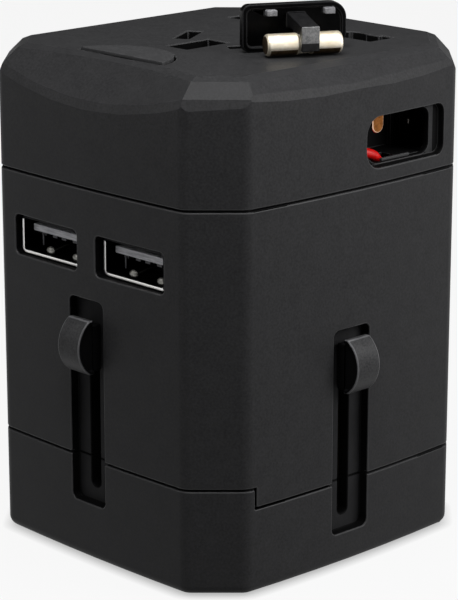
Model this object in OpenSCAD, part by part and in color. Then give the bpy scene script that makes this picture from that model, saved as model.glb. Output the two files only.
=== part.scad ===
// Universal travel adapter with three plug sliders, two USB ports and a fuse drawer.
// The drawer is drawn out of its slot and stands on the top face.
// Z is up, the USB ports face -Y, the fuse slot faces +X, the origin is the centre of the base.

/* [Casing] */
// Width between the middles of the bowed side faces
body_w = 54; // [53:0.5:60]
// Depth between the middles of the bowed front and back faces
body_d = 56.7; // [56:0.1:62]
// Height of the flat top
body_h = 75; // [70:0.5:84]
// Leg of the corner chamfers in plan
corner_leg = 7.1; // [6:0.1:8]
// How far the side faces bow outwards
side_bow = 0.8; // [0.2:0.1:1]
// How far the front and back faces bow outwards
front_bow = 0.5; // [0.2:0.1:1]
// Radius of the upright edges
edge_r = 2.5; // [1:0.1:4]
// Wall thickness of the three casings
wall = 2; // [1.8:0.1:2.2]
// Thickness of the floor
floor_t = 2.4; // [1.8:0.1:3]
// Thickness of the roof
roof_t = 2.4; // [2:0.1:2.8]
// Height of the lower seam on the front and left faces
cap_h = 15.8; // [14.5:0.1:17]
// How much lower the seam runs on the right and back faces
cap_step = 3; // [1:0.1:4]
// Where the seam steps down, ahead of the right face's middle
step_y = 19.9; // [19:0.1:20.5]
// Height of the socket head above the upper seam
head_h = 18.4; // [18:0.1:19]
// Leg of the sloped shoulder at the sides and corners of the top
shoulder = 3.2; // [2:0.1:4]
// Leg of the sloped shoulder at the back of the top
back_shoulder = 1.4; // [0.8:0.1:3]
// How deep the long edges of the shoulders and of the dished slope are eased
ease = 0.3; // [0.1:0.05:0.35]
// How far below the top the dished front slope starts
dish_drop = 6; // [5:0.1:7]
// Radius across the dished front slope
dish_r = 115; // [90:1:160]
// Width of the seam lines
seam_w = 0.35; // [0.2:0.05:0.5]
// Depth of the seam lines
seam_depth = 0.7; // [0.4:0.1:0.9]
// Height of the lips that centre the casings
lip_h = 1.8; // [1:0.1:2]
// Thickness of the lips
lip_t = 1; // [0.8:0.1:1.2]

/* [Sliders] */
// Radius of the arched front of the thumb knobs
knob_r = 4.9; // [4.6:0.05:5.4]
// Half the height of the thumb knobs
knob_half = 4.05; // [3.8:0.05:4.3]
// Width of the thumb knobs
knob_w = 4.6; // [4.2:0.1:5]
// How far the knobs stand out of the faces
knob_out = 3.45; // [3:0.05:3.8]
// How much higher the knobs' middles sit than those of their necks
knob_up = 0.75; // [0.4:0.05:0.9]
// Width of the slider pockets
pocket_w = 7.4; // [6.5:0.1:9]
// Depth of the slider pockets
pocket_depth = 1.6; // [1.2:0.1:1.8]
// Width of the slots in the pocket floors
slot_w = 2; // [1.9:0.1:2.4]
// Width of the necks that run in the slots
neck_w = 1.4; // [1.2:0.1:1.5]
// Height of the necks
neck_h = 4.6; // [4:0.1:5]
// Distance of the front and back knobs below the top
us_knob_drop = 42.2; // [42:0.1:43]
// How much lower the right knob sits
eu_knob_drop = 2.6; // [2:0.1:3]
// Sideways place of the front knob
us_offset = -0.4; // [-1:0.1:1]
// Sideways place of the right knob
eu_offset = -1; // [-1.5:0.1:0]
// Distance of the carriage bars below the front and back knobs
bar_drop = 9.7; // [9.4:0.1:10]
// Free pocket above the front and back knobs
us_headroom = 2.7; // [1:0.05:3.2]
// Free pocket above the right knob
eu_headroom = 1.3; // [0.8:0.05:1.8]
// Pocket below the middle of a neck at the end of its travel
pocket_tail = 4.6; // [4:0.1:5]

/* [Plugs] */
// Distance between the flat blades
us_span = 12.7; // [12.5:0.1:13.7]
// Width of a flat blade
blade_w = 6.3; // [5.8:0.1:6.5]
// Thickness of a flat blade
blade_t = 1.5; // [1.3:0.1:1.7]
// Height of the blade tips above the base at rest
us_tip = 2.5; // [1:0.1:4]
// How far the blades' carriage stops above the floor
us_stop = 1.7; // [0.4:0.1:3]
// Distance between the round pins
eu_span = 19; // [18.5:0.1:19.5]
// Diameter of a round pin
eu_pin_d = 4; // [3.8:0.1:4.8]
// Height of the round pins' tips above the base at rest
eu_tip = 1.3; // [0.8:0.1:2]
// How far the round pins' carriage stops above the floor
eu_stop = 0.4; // [0.3:0.1:1.5]
// Distance between the rectangular pins, and from their line to the earth pin
uk_span = 22.2; // [22:0.1:22.4]
// Width of a rectangular pin
uk_pin_w = 6.35; // [6.2:0.05:6.5]
// Thickness of the rectangular pins
uk_pin_t = 4; // [3.8:0.1:4.1]
// Length of the earth pin's section
earth_l = 8; // [7.6:0.1:8.2]
// Height of the rectangular pins' tips above the base at rest
uk_tip = 1.5; // [1:0.1:2]
// Height of the earth pin's tip above the base at rest
earth_tip = 0.6; // [0.4:0.1:1]
// How far the rectangular pins' carriage stops above the floor
uk_stop = 1.5; // [0.4:0.1:2]
// Share of the pins' length that the insulating sleeves cover
sleeve_share = 0.41; // [0.35:0.01:0.45]
// Height of the carriage bars
bar_h = 5.4; // [4.5:0.1:5.6]

/* [Socket] */
// Length of the wells below the top face
well_depth = 19.6; // [19.4:0.1:20]
// Distance of the earth hole behind the front face
earth_in = 22.05; // [21.8:0.05:22.3]
// Distance of the slanted slots behind the earth hole
slant_in = 4.5; // [4.3:0.1:4.7]
// Half the distance between the slanted slots
slant_x = 6.9; // [6.7:0.1:7.1]
// Turn of the slanted slots
slant_turn = 30; // [25:1:32]
// Width of the slanted slots
slant_w = 2.4; // [2:0.1:2.6]
// Length of the slanted slots
slant_l = 7.2; // [6.6:0.1:7.4]
// Room round a pin in its hole
pin_gap = 0.25; // [0.2:0.05:0.35]
// How much further out the live hole runs than the neutral one
live_extra = 1.45; // [0:0.05:1.6]
// Diameter of the round part of the socket holes
round_hole_d = 5.3; // [5:0.1:5.4]
// Thickness of the spring contacts
leaf_t = 0.4; // [0.3:0.05:0.5]

/* [Button] */
// Radius of the half-moon button
button_r = 9; // [8.6:0.05:9.6]
// How far the button reaches back from its straight side
button_depth = 7.1; // [6.8:0.1:7.6]
// Land between the dished slope and the button
button_land = 1.05; // [0.8:0.05:1.3]
// How far the button stands proud of the top
button_proud = 0.35; // [0.1:0.05:1]
// Travel of the button
button_travel = 1.5; // [1:0.1:1.8]
// Thickness of the spring wire
spring_wire = 0.5; // [0.4:0.05:0.6]
// Turns of the return spring
spring_turns = 6; // [4:1:8]

/* [Fuse] */
// Distance of the fuse slot's middle from the back face
fuse_in = 18.25; // [18:0.05:18.5]
// Distance of the fuse slot's middle below the top
fuse_drop = 12.1; // [11.8:0.1:12.3]
// Width of the fuse slot
fuse_slot_w = 16.9; // [16.6:0.1:17.2]
// Height of the fuse slot
fuse_slot_h = 7.6; // [7.4:0.1:7.8]
// Corner radius at the keyed end of the fuse slot
key_r = 2.8; // [2:0.1:3.2]
// Corner radius at the plain end of the fuse slot
plain_r = 1.5; // [1:0.1:2]
// Room round the drawer plate in the slot
drawer_gap = 0.35; // [0.15:0.05:0.4]
// Room at the ends of the drawer plate in the slot
drawer_end = 0.55; // [0.2:0.05:0.7]
// Thickness of the drawer plate
plate_t = 1.5; // [1.2:0.1:1.6]
// Diameter of the fuse
fuse_d = 3.2; // [3:0.1:3.3]
// Length of the fuse
fuse_l = 11.4; // [10.8:0.1:11.6]
// Length of each metal cap of the fuse
fuse_cap_l = 5; // [3:0.1:5.2]
// Distance of the fuse from the drawer plate
fuse_reach = 4.4; // [4:0.1:4.6]
// Width of the clip round the fuse
clip_w = 2.7; // [2.4:0.1:3]
// Place along X where the drawer stands on the top
drawer_x = 13.7; // [12:0.05:14]
// Place along Y where the drawer stands on the top
drawer_y = 0.1; // [-2:0.05:2]
// Turn of the drawer where it stands on the top
drawer_turn = 63; // [55:0.1:70]

/* [USB] */
// Distance of the ports from the middle
usb_x = 9.2; // [8.9:0.1:9.3]
// Sideways place of the pair of ports
usb_offset = -0.25; // [-0.5:0.05:0.5]
// Width of a port's steel shell
usb_w = 13.1; // [12.8:0.1:13.3]
// Height of a port's steel shell
usb_h = 5.7; // [5.5:0.1:5.9]
// Length of a port's steel shell
usb_l = 14; // [12:0.5:15]
// Thickness of the shell's steel
usb_t = 0.35; // [0.3:0.05:0.4]
// How far the shell sits behind the front face
usb_recess = 1.2; // [0.8:0.1:1.5]
// Room beside the shell in its opening
usb_gap = 0.65; // [0.4:0.05:0.7]
// Room above and below the shell in its opening
usb_gap_high = 0.2; // [0.1:0.05:0.35]
// Thickness of the circuit board
board_t = 1.6; // [1.2:0.1:1.8]
// Height of the board above the inner frame
board_lift = 2.9; // [2.6:0.1:3.4]
// Thickness of the inner frame
frame_t = 1.6; // [1.4:0.1:2]

/* [Hidden] */
$fn = 48;

// Heights of the casing seams
cap_low = cap_h - cap_step;
head_z = body_h - head_h;
roof_z = body_h - roof_t;

// Inner limits of the sides where the lower seam runs low, and where it ends at the back
low_x = body_w / 2 - 7;
low_y = body_d / 2 - 6.35;
low_end = body_w / 2 - 9;

// How far the corner chamfers stand from the middle
corner_reach = (body_w + body_d - side_bow - front_bow - 2 * corner_leg) / (2 * sqrt(2));

// Radii across the dished slope's eased edges, which follow the bowed front and the flat top
low_ease_r = 1 / (sqrt(2) * sin(22.5) / dish_r
    - 2 * (cos(22.5) - sin(22.5)) * front_bow / pow(body_w / 2 - corner_leg, 2));
high_ease_r = dish_r / (sqrt(2) * sin(22.5));

// Room between casing lips, between moving pieces and at the ends of their travel
lip_gap = 0.15;
lip_root = 2.5;
move_gap = 0.3;
end_gap = 0.35;
snug = 0.05;
row_gap = 0.8;
neck_in = 1.5;
// Top of a knob above its neck's middle, back of its arched front, half its foot, and its cheeks
knob_top = knob_up + knob_half;
front_back = 0.4;
foot_half = 3.5;
foot_in = 0.5;
cheek_rim = 0.55;
cheek_depth = 0.35;
// Length of cuts that run out into the open
overrun = 20;
// Steps along each bowed face and round each upright edge
bow_steps = 6;
edge_steps = 4;

// Heights of the knobs and of the carriage bars, and the travel that is left below the bars
us_knob_z = body_h - us_knob_drop;
eu_knob_z = us_knob_z - eu_knob_drop;
bar_z = us_knob_z - bar_drop;
bar_top = bar_z + bar_h;
us_travel = bar_z - floor_t - us_stop;
eu_travel = bar_z - floor_t - eu_stop;
uk_travel = bar_z - floor_t - uk_stop;
sleeve_l = (bar_z - eu_tip) * sleeve_share;

// Each slider: turn of its face, reach of that face, sideways place, knob height,
// travel, free pocket above the knob, height of the seam there
us_slider = [0, body_d / 2, us_offset, us_knob_z, us_travel, us_headroom, cap_h];
eu_slider = [90, body_w / 2, eu_offset, eu_knob_z, eu_travel, eu_headroom, cap_low];
uk_slider = [180, body_d / 2, 0, us_knob_z, uk_travel, us_headroom, cap_low];
sliders = [us_slider, eu_slider, uk_slider];

// Thickened wall behind the pockets
backing_t = pocket_depth + 2;
backing_w = pocket_w + 2.8;
backing_over = 1.4;

// Carriages in three rows from the front to the back
pin_wall = 1.2;
us_bar_d = 8;
eu_bar_d = eu_pin_d + 2 * pin_wall;
uk_bar_d = uk_pin_t + 2 * pin_wall - 0.4;
us_y = -body_d / 2 + backing_t + 2.35 + us_bar_d / 2;
eu_y = us_y + us_bar_d / 2 + row_gap + eu_bar_d / 2;
uk_y = eu_y + eu_bar_d / 2 + row_gap + uk_bar_d / 2;
uk_earth_y = uk_y + uk_span;
us_bar_half = us_span / 2 + 5.65;
eu_bar_half = eu_span / 2 + eu_pin_d / 2 + pin_wall;
uk_bar_half = uk_span / 2 + uk_pin_w / 2 + pin_wall;
riser_w = 6;
riser_d = 2;

// Pivots of the blades
pivot_r = 2.4;
pivot_head_r = 3.2;
pivot_head_t = 1;
blade_hole_r = norm([blade_w, blade_t]) / 2 + end_gap;

// Rails beside the carriages
rail_t = 0.6;
rail_x = uk_bar_half + 1.5;
rail_bar_h = 2.2;
rail_foot_z = floor_t + 2.6;
foot_x = rail_x + rail_t / 2 + 0.5;
foot_w = 4.2;
wiper_t = 0.4;
wiper_w = 1.2;
riser_y = [body_d / 2 - fuse_in - 6.1, body_d / 2 - fuse_in - 2.1];
us_leg = [us_y + us_bar_d / 2 - 1.5, us_y + us_bar_d / 2 + row_gap - end_gap];
eu_leg = [eu_y - 1.2, eu_y + 1.2];
uk_leg = [uk_y - uk_bar_d / 2 + 0.7, uk_y + uk_bar_d / 2 + 0.9];

// Inner frame, board and contact carrier
frame_z = us_knob_z + neck_h / 2 + 0.9 + rail_bar_h;
frame_top = frame_z + frame_t;
board_z = frame_top + board_lift;
board_top = board_z + board_t;
board_half = usb_x + usb_w / 2 + 0.4;
board_front = -body_d / 2 + wall + 0.8;
board_d = 39;
board_back = board_front + board_d;
usb_z = board_top + usb_h / 2;
usb_front = -body_d / 2 + usb_recess;
tongue_w = usb_w - 1.9;
tongue_t = 1.05;
tongue_up = 0.9;
tongue_contact_t = 0.45;
tongue_back = 1.4;
core_w = 13;
core_d = 12;
core_h = 8;
core_window = 3;
core_y = board_back - core_d / 2 - 4;
coil_h = 5;
coil_over = 1.5;
can_d = 6.3;
can_h = 7.6;
can_x = board_half - can_d / 2 - 0.85;
chip_w = 5;
chip_d = 4;
chip_h = 1.6;
chip_y = core_y - core_d / 2 - chip_d - 2;
pitch = 1.27;
carrier_t = 1.4;
carrier_z = body_h - well_depth - carrier_t;
carrier_top = carrier_z + carrier_t;
carrier_inset = wall + lip_gap + lip_t + move_gap;
post_x = body_w / 2 - wall - 3.5;
post_y = 12;
post_r = 2;
board_post_r = 1.6;
board_post_x = 13;

// Corner columns and their screws
column_x = body_w / 2 - wall - 5.6;
column_y = body_d / 2 - wall - 6.35;
column_r = 4.3;
column_z = cap_h + lip_h + 0.3;
boss_r = 3.5;
screw_r = 1.15;
screw_head_r = 2.2;
screw_head_t = 1.8;
screw_recess = 4;
screw_rest = 4.3;
screw_bite = (frame_z - column_z - screw_rest) / 2;

// Socket holes and wells
earth_y = earth_in - body_d / 2;
slant_y = earth_y + slant_in;
ln_y = earth_y + uk_span;
ln_hole_w = uk_pin_w + 2 * pin_gap;
ln_hole_t = uk_pin_t + 2 * pin_gap;
ln_x0 = (eu_span - round_hole_d) / 2;
ln_x1 = (uk_span + ln_hole_w) / 2;
live_step = 0.6;
leaf_gap = 0.1;
well_side = leaf_t + 0.5;
well_wall = 1;
earth_room = 0.3;
slant_side = leaf_t + 0.25;
strap_t = 0.5;
strap_w = 3;
tab_w = 2;

// Button and its spring
button_front = -body_d / 2 + dish_drop + button_land;
button_y = button_front + button_depth - button_r;
button_gap = 0.25;
button_flange = 0.5;
flange_t = 1.6;
flange_top = roof_z - 0.4;
stem_y = button_front + button_depth / 2;
stem_r = 1.6;
guide_r = 3.1;
guide_top = carrier_top + 6.6;
spring_r = 2.4;
spring_foot = guide_top + spring_wire / 2;
spring_head = flange_top - flange_t - spring_wire / 2;

// Fuse bay and drawer
fuse_y = body_d / 2 - fuse_in;
fuse_z = body_h - fuse_drop;
recess_d = plate_t + 0.1;
ledge_t = 1;
ledge_end = 1.2;
ledge_far = 2.3;
ledge_side = 0.4;
bay_room = 1;
bay_wall = 1;
rib_y = [-2.6, 6];
rib_t = 0.6;
fuse_v = fuse_d / 2 + 0.15;
fuse_u = -0.2;
bay_x = body_w / 2 - recess_d - fuse_reach - fuse_d / 2 - 1.6;
bay_floor = fuse_z - fuse_slot_h / 2 + ledge_side;
bay_roof = fuse_z + fuse_slot_h / 2 - ledge_side;
bay_y0 = fuse_y - fuse_slot_w / 2 + ledge_end - bay_room;
bay_y1 = fuse_y + fuse_slot_w / 2 - ledge_end + bay_room;
bay_front = body_w / 2 - recess_d - ledge_t;
fuse_axis_x = body_w / 2 - recess_d - fuse_reach;
fuse_axis_z = fuse_z - fuse_slot_h / 2 + drawer_gap + fuse_v;
plate_w = fuse_slot_w - 2 * drawer_end;
plate_h = fuse_slot_h - 2 * drawer_gap;
spoon_w = 2.4;
spoon_y = fuse_y - 3;
spoon_z = bay_roof - 1.75;
rim_w = 0.7;
rim_depth = 0.4;
clip_u = 0.3;
tab_u = [-3.7, 5.1];
clip_t = 0.45;
clip_r = fuse_d / 2 + snug + clip_t;
clip_low = 0.9;
arm_drop = 1.45;
arm_slope = 9;
stand_gap = 0.05;

// Red lead from the live rail up to the front fuse contact
lead_r = 0.85;
lead_route = [
    [rail_x + rail_t / 2 + lead_r, fuse_y - 5.5, carrier_top + 1.1],
    [rail_x + 1.5, fuse_y - 4.2, carrier_top + 1.2],
    [rail_x + 3.2, fuse_y - 2.2, carrier_top + 1.3],
    [bay_front - 2.1, fuse_y - 0.5, bay_floor - 1.9],
    [bay_front - 1.85, fuse_y - 1.2, bay_floor - 1.2],
    [bay_front - 1.1, fuse_y - 2.65, bay_floor - 0.1],
    [bay_front - 0.95, fuse_y - 3.9, bay_floor + 0.8],
    [bay_front - lead_r - 0.15, bay_y0 + leaf_t + 0.35, bay_floor + 1.9]
];

// Vector helpers
function unit(v) = v / norm(v);
function turned(v, a) = [v[0] * cos(a) - v[1] * sin(a), v[0] * sin(a) + v[1] * cos(a)];

// Points of one bowed face in plan, drawn inwards by inset
function face_points(k, inset) =
    let (reach = (k % 2 == 0 ? body_w : body_d) / 2 - inset)
    let (across = (k % 2 == 0 ? body_d : body_w) / 2 - inset)
    let (half = across - corner_leg + inset * (2 - sqrt(2)))
    let (bow = k % 2 == 0 ? side_bow : front_bow)
    [for (j = [0:bow_steps]) let (t = 2 * j / bow_steps - 1)
        turned([reach - bow * t * t, half * t], 90 * k)];

// Points of a rounded corner at p1 between p0 and p2
function rounded(p0, p1, p2, r) =
    let (u = unit(p0 - p1), v = unit(p2 - p1))
    let (half = acos(u * v) / 2)
    let (centre = p1 + unit(u + v) * r / sin(half))
    let (start = p1 + u * r / tan(half) - centre)
    [for (k = [0:edge_steps]) centre + turned(start, (180 - 2 * half) * k / edge_steps)];

// Plan outline of the casing, drawn inwards by inset
function outline(inset) =
    let (r = max(edge_r - inset, 0.5))
    let (f = [for (k = [0:3]) face_points(k, inset)])
    let (n = bow_steps)
    [for (k = [0:3]) each concat(
        rounded(f[(k + 3) % 4][n], f[k][0], f[k][1], r),
        [for (j = [1:n - 1]) f[k][j]],
        rounded(f[k][n - 1], f[k][n], f[(k + 1) % 4][0], r))];

// Points along a smooth curve through a route
function curve_point(a, b, c, d, t) =
    0.5 * (2 * b + (c - a) * t + (2 * a - 5 * b + 4 * c - d) * t * t + (3 * b - a - 3 * c + d) * t * t * t);
function smooth(route, steps) =
    let (n = len(route) - 1)
    concat(
        [for (i = [0:n - 1]) for (s = [0:steps - 1])
            curve_point(route[max(i - 1, 0)], route[i], route[i + 1], route[min(i + 2, n)], s / steps)],
        [route[n]]);

// A round tube along a path, with its section kept level to a reference direction
module tube(path, r, sides, level) {
    n = len(path) - 1;
    ways = [for (i = [0:n]) unit(path[min(i + 1, n)] - path[max(i - 1, 0)])];
    points = [for (i = [0:n]) let (s = unit(cross(ways[i], level)), u = cross(s, ways[i]))
        for (k = [0:sides - 1]) path[i] + r * (cos(360 * k / sides) * s + sin(360 * k / sides) * u)];
    walls = [for (i = [0:n - 1]) for (k = [0:sides - 1])
        let (a = i * sides + k, b = i * sides + (k + 1) % sides)
        each [[a, b, b + sides], [a, b + sides, a + sides]]];
    start = [for (k = [sides - 1:-1:0]) k];
    finish = [for (k = [0:sides - 1]) n * sides + k];
    polyhedron(points, concat([start, finish], walls));
}

// A rectangle with rounded corners
module soft_rect(w, h, r) {
    square([w - 2 * r, h], center = true);
    square([w, h - 2 * r], center = true);
    for (x = [-1, 1]) for (y = [-1, 1]) translate([x * (w / 2 - r), y * (h / 2 - r)]) circle(r);
}

// A rectangle with one pair of corner radii at each end
module keyed_rect(w, h, r_low, r_high) {
    translate([-w / 2 + r_low, -h / 2]) square([w - r_low - r_high, h]);
    translate([-w / 2, -h / 2 + r_low]) square([w / 2, h - 2 * r_low]);
    translate([0, -h / 2 + r_high]) square([w / 2, h - 2 * r_high]);
    for (y = [-1, 1]) {
        translate([-w / 2 + r_low, y * (h / 2 - r_low)]) circle(r_low);
        translate([w / 2 - r_high, y * (h / 2 - r_high)]) circle(r_high);
    }
}

// A box between two corners
module box(low, high) {
    translate(low) cube(high - low);
}

// The casing's section between two heights, solid or as a ring
module slab(z0, z1, inset) {
    translate([0, 0, z0]) linear_extrude(z1 - z0) polygon(outline(inset));
}
module ring(z0, z1, outer, inner) {
    translate([0, 0, z0]) linear_extrude(z1 - z0) difference() {
        polygon(outline(outer));
        polygon(outline(inner));
    }
}

// Lip that stands up from a seam inside the next casing
module lip(root_z, seam_z) {
    ring(root_z - lip_root, root_z, wall - 0.4, wall + lip_gap + lip_t);
    ring(root_z - lip_root, seam_z + lip_h, wall + lip_gap, wall + lip_gap + lip_t);
}

// Plan of the right and back sides, where the lower seam runs low
module low_side(shift) {
    polygon([
        [low_x, -step_y + shift], [body_w, -step_y + shift], [body_w, body_d],
        [-low_end + shift, body_d], [-low_end + shift, low_y], [low_x, low_y]
    ]);
}

// Places children on a slider's face: X along it, Y into the casing, Z up from the base
module on_face(s) {
    rotate([0, 0, s[0]]) translate([s[2], -s[1], 0]) children();
}
// Cuts a plan drawn on a slider's face to a depth below it
module face_cut(depth) {
    translate([0, depth, 0]) rotate([90, 0, 0]) linear_extrude(depth + overrun) children();
}

// Pocket and slot of a slider, over the whole travel
module slider_cut(s) {
    low = s[3] - s[4] - end_gap;
    pocket_low = low - pocket_tail;
    pocket_high = s[3] + knob_top + s[5];
    slot_low = low - neck_h / 2;
    slot_high = s[3] + neck_h / 2 + end_gap;
    on_face(s) {
        translate([0, 0, (pocket_low + pocket_high) / 2])
            face_cut(pocket_depth) soft_rect(pocket_w, pocket_high - pocket_low, 1);
        translate([0, 0, (slot_low + slot_high) / 2])
            face_cut(backing_t + 1) soft_rect(slot_w, slot_high - slot_low, slot_w * 0.45);
    }
}

// Thick wall behind a pocket
module slider_backing(s, z0, z1, grow) {
    on_face(s) box([-backing_w / 2 - grow, 1, z0], [backing_w / 2 + grow, backing_t + grow, z1]);
}
function backing_top(s) = s[3] + knob_top + s[5] + backing_over;

// Runs a plan of Y and Z along X, to both sides of the middle
module along_x(length) {
    translate([-length / 2, 0, 0]) rotate([90, 0, 90]) linear_extrude(length) children();
}
// Side view of a knob's arched front, drawn inwards by shrink
module knob_plan(shrink) {
    intersection() {
        translate([knob_r - knob_out, knob_up]) circle(knob_r - shrink, $fn = 96);
        translate([-knob_out, knob_up - knob_half + shrink])
            square([knob_out - front_back, 2 * (knob_half - shrink)]);
    }
}
// Thumb knob, an arched front with sunk cheeks on a foot in the pocket, with a socket for its neck
module knob(s) {
    flat = pocket_depth - move_gap;
    on_face(s) translate([0, 0, s[3]]) difference() {
        union() {
            along_x(knob_w) knob_plan(0);
            box([-knob_w / 2 + foot_in, -front_back - 1, knob_up / 2 - foot_half],
                [knob_w / 2 - foot_in, flat, knob_up / 2 + foot_half]);
        }
        for (x = [-1, 1]) translate([x * knob_w / 2, 0, 0]) along_x(2 * cheek_depth) knob_plan(cheek_rim);
        box([-neck_w / 2 - snug, flat - neck_in - snug, -neck_h / 2 - snug],
            [neck_w / 2 + snug, flat + 1, neck_h / 2 + snug]);
    }
}
// Neck from a carriage out to its knob, starting at a depth behind the face
module neck(s, depth) {
    on_face(s) box([-neck_w / 2, pocket_depth - move_gap - neck_in, s[3] - neck_h / 2],
        [neck_w / 2, depth, s[3] + neck_h / 2]);
}

// The four corner places of the columns
module at_columns() {
    for (x = [-1, 1]) for (y = [-1, 1]) translate([x * column_x, y * column_y, 0]) children();
}

// Everything beyond a plane through a point that faces a given way
module beyond(point, way) {
    translate(point) rotate([0, acos(way[2] / norm(way)), atan2(way[1], way[0])])
        translate([-overrun, -body_d, 0]) cube([2 * overrun, 2 * body_d, overrun]);
}
// Everything beyond a plane that eases an edge
module eased(edge, way) {
    beyond(edge - ease * way / norm(way), way);
}
// Sloped shoulder at one side of the head, with both of its edges eased where it is the outside
module slope(turn, reach, leg, inset, bow, half) {
    rotate([0, 0, turn]) {
        beyond([reach - leg - inset * sqrt(2), 0, body_h], [1, 0, 1]);
        if (inset == 0) {
            eased([reach - leg, 0, body_h], [1, 0, 1 + sqrt(2)]);
            for (s = bow > 0 ? [-1, 1] : [0])
                eased([reach - bow / 4, s * half / 2, body_h - leg + bow / 4],
                    [1 + sqrt(2), s * sqrt(2) * bow / half, 1]);
        }
    }
}
// Dished cut through a place at the front that faces outwards and up by a tilt
module dished(y, z, tilt, r) {
    translate([0, y, z]) rotate([-tilt, 0, 0]) translate([0, -r, 0])
        cylinder(r = r, h = 2 * overrun, center = true, $fn = 240);
}
// Dished slope at the front of the head, with both of its edges eased where it is the outside
module dish(inset) {
    y = -body_d / 2;
    z = body_h - dish_drop;
    dished(y + inset / sqrt(2), z - inset / sqrt(2), 45, dish_r + inset);
    if (inset == 0) {
        dished(y + ease * cos(22.5), z - ease * sin(22.5), 22.5, low_ease_r);
        dished(y + dish_drop + ease * sin(22.5), body_h - ease * cos(22.5), 67.5, high_ease_r);
    }
}
module head_form(z0, z1, inset) {
    difference() {
        slab(z0, z1, inset);
        for (turn = [0, 180]) slope(turn, body_w / 2, shoulder, inset, side_bow, body_d / 2 - corner_leg);
        slope(90, body_d / 2, back_shoulder, inset, front_bow, body_w / 2 - corner_leg);
        for (k = [0:3]) slope(45 + 90 * k, corner_reach, shoulder, inset, 0, 1);
        dish(inset);
    }
}

// Plan of the half-moon button
module half_moon(grow) {
    intersection() {
        translate([0, button_y]) circle(button_r + grow, $fn = 96);
        translate([-2 * button_r, button_front - grow]) square([4 * button_r, 2 * button_r]);
    }
}

// Plan of the socket holes
module socket_plan() {
    translate([ln_x1 - 1, ln_y - ln_hole_t / 2]) square([live_extra + 1, ln_hole_t + live_step]);
    translate([0, earth_y]) square([uk_pin_t + 2 * pin_gap, earth_l + 2 * pin_gap], center = true);
    for (s = [-1, 1]) {
        translate([s * uk_span / 2, ln_y]) square([ln_hole_w, ln_hole_t], center = true);
        translate([s * eu_span / 2, ln_y]) circle(d = round_hole_d);
        translate([s * slant_x, slant_y]) rotate(-s * slant_turn) square([slant_w, slant_l], center = true);
    }
}
// Plan of the wells below the holes, with a wall of the given thickness round them
module well_plan(thick) {
    translate([0, earth_y]) square([uk_pin_t + 2 * (pin_gap + earth_room + thick),
        earth_l + 2 * (pin_gap + earth_room + thick)], center = true);
    for (s = [-1, 1]) {
        translate([s * (ln_x0 + ln_x1) / 2, ln_y]) square([ln_x1 - ln_x0 + 2 * (well_side + thick),
            round_hole_d + 2 * (well_side + thick)], center = true);
        translate([s * slant_x, slant_y]) rotate(-s * slant_turn)
            square([slant_w + 2 * (slant_side + thick), slant_l + 2 * (earth_room + thick)], center = true);
    }
}

module socket_head() {
    color("#3a3b3d") difference() {
        union() {
            difference() {
                head_form(head_z, body_h, 0);
                head_form(head_z - 1, roof_z, wall);
            }
            bay_box(bay_front, body_w / 2 - wall / 2);
        }
        bay_box(bay_x, bay_front);
        ring(head_z - 1, head_z + seam_w, -1, seam_depth);
        translate([0, 0, roof_z - 1]) linear_extrude(roof_t + 2) socket_plan();
        translate([0, 0, roof_z - 1]) linear_extrude(roof_t + 2) half_moon(button_gap);
        on_face([90, body_w / 2, 0]) translate([fuse_y, 0, fuse_z]) {
            face_cut(recess_d) keyed_rect(fuse_slot_w, fuse_slot_h, key_r, plain_r);
            face_cut(recess_d + ledge_t + 1) translate([(ledge_end - ledge_far) / 2, 0])
                keyed_rect(fuse_slot_w - ledge_end - ledge_far, fuse_slot_h - 2 * ledge_side, key_r, plain_r);
        }
        lead_passage();
    }
}

// Outside of the fuse bay between two places along X
module bay_box(x0, x1) {
    box([x0, bay_y0 - bay_wall, bay_floor - bay_wall], [x1, bay_y1 + bay_wall, bay_roof + bay_wall]);
}
// Passage for the lead through the floor of the fuse bay
module lead_passage() {
    box([bay_front - 3.4, fuse_y - 4.6, bay_floor - 2 * bay_wall],
        [bay_front + 0.4, fuse_y + 0.9, bay_floor + 0.5]);
}
// Moulded box behind the fuse slot, with two guide ribs on its back
module fuse_holder() {
    color("#1b1c1d") {
        difference() {
            bay_box(bay_x - bay_wall, bay_front);
            box([bay_x, bay_y0, bay_floor], [bay_front + 1, bay_y1, bay_roof]);
            lead_passage();
            box([fuse_axis_x - 1.3, bay_y1 - leaf_t - 0.3, bay_floor - 2 * bay_wall],
                [fuse_axis_x + 1.3, bay_y1, bay_floor + 1]);
        }
        for (y = rib_y) translate([0, fuse_y + y, 0])
            box([bay_x - bay_wall / 2, -rib_t / 2, bay_floor - bay_wall / 2],
                [bay_x + 0.5, rib_t / 2, bay_roof + bay_wall / 2]);
    }
}

module middle_shell() {
    color("#313234") difference() {
        union() {
            difference() {
                ring(cap_low, head_z, 0, wall);
                translate([0, 0, cap_low - 1]) linear_extrude(cap_step + 1) difference() {
                    square(2 * body_d, center = true);
                    low_side(0);
                }
            }
            lip(head_z, head_z);
            for (s = sliders) slider_backing(s, s[6], backing_top(s), 0);
            intersection() {
                at_columns() translate([0, 0, column_z]) cylinder(r = column_r, h = frame_z - column_z);
                slab(column_z, frame_z, wall - 0.4);
            }
        }
        difference() {
            ring(cap_low - 1, cap_h + seam_w, -1, seam_depth);
            translate([0, 0, cap_low + seam_w]) linear_extrude(overrun) low_side(seam_w);
        }
        for (s = sliders) slider_cut(s);
        for (x = [-1, 1]) on_face([0, body_d / 2, usb_offset + x * usb_x]) translate([0, 0, usb_z])
            face_cut(wall + 1) soft_rect(usb_w + 2 * usb_gap, usb_h + 2 * usb_gap_high, 0.9);
        at_columns() {
            translate([0, 0, column_z - 1]) cylinder(r = screw_r + snug, h = screw_bite + 2);
            translate([0, 0, frame_z - screw_bite - 1]) cylinder(r = screw_r + snug, h = screw_bite + 2);
        }
    }
}

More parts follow.
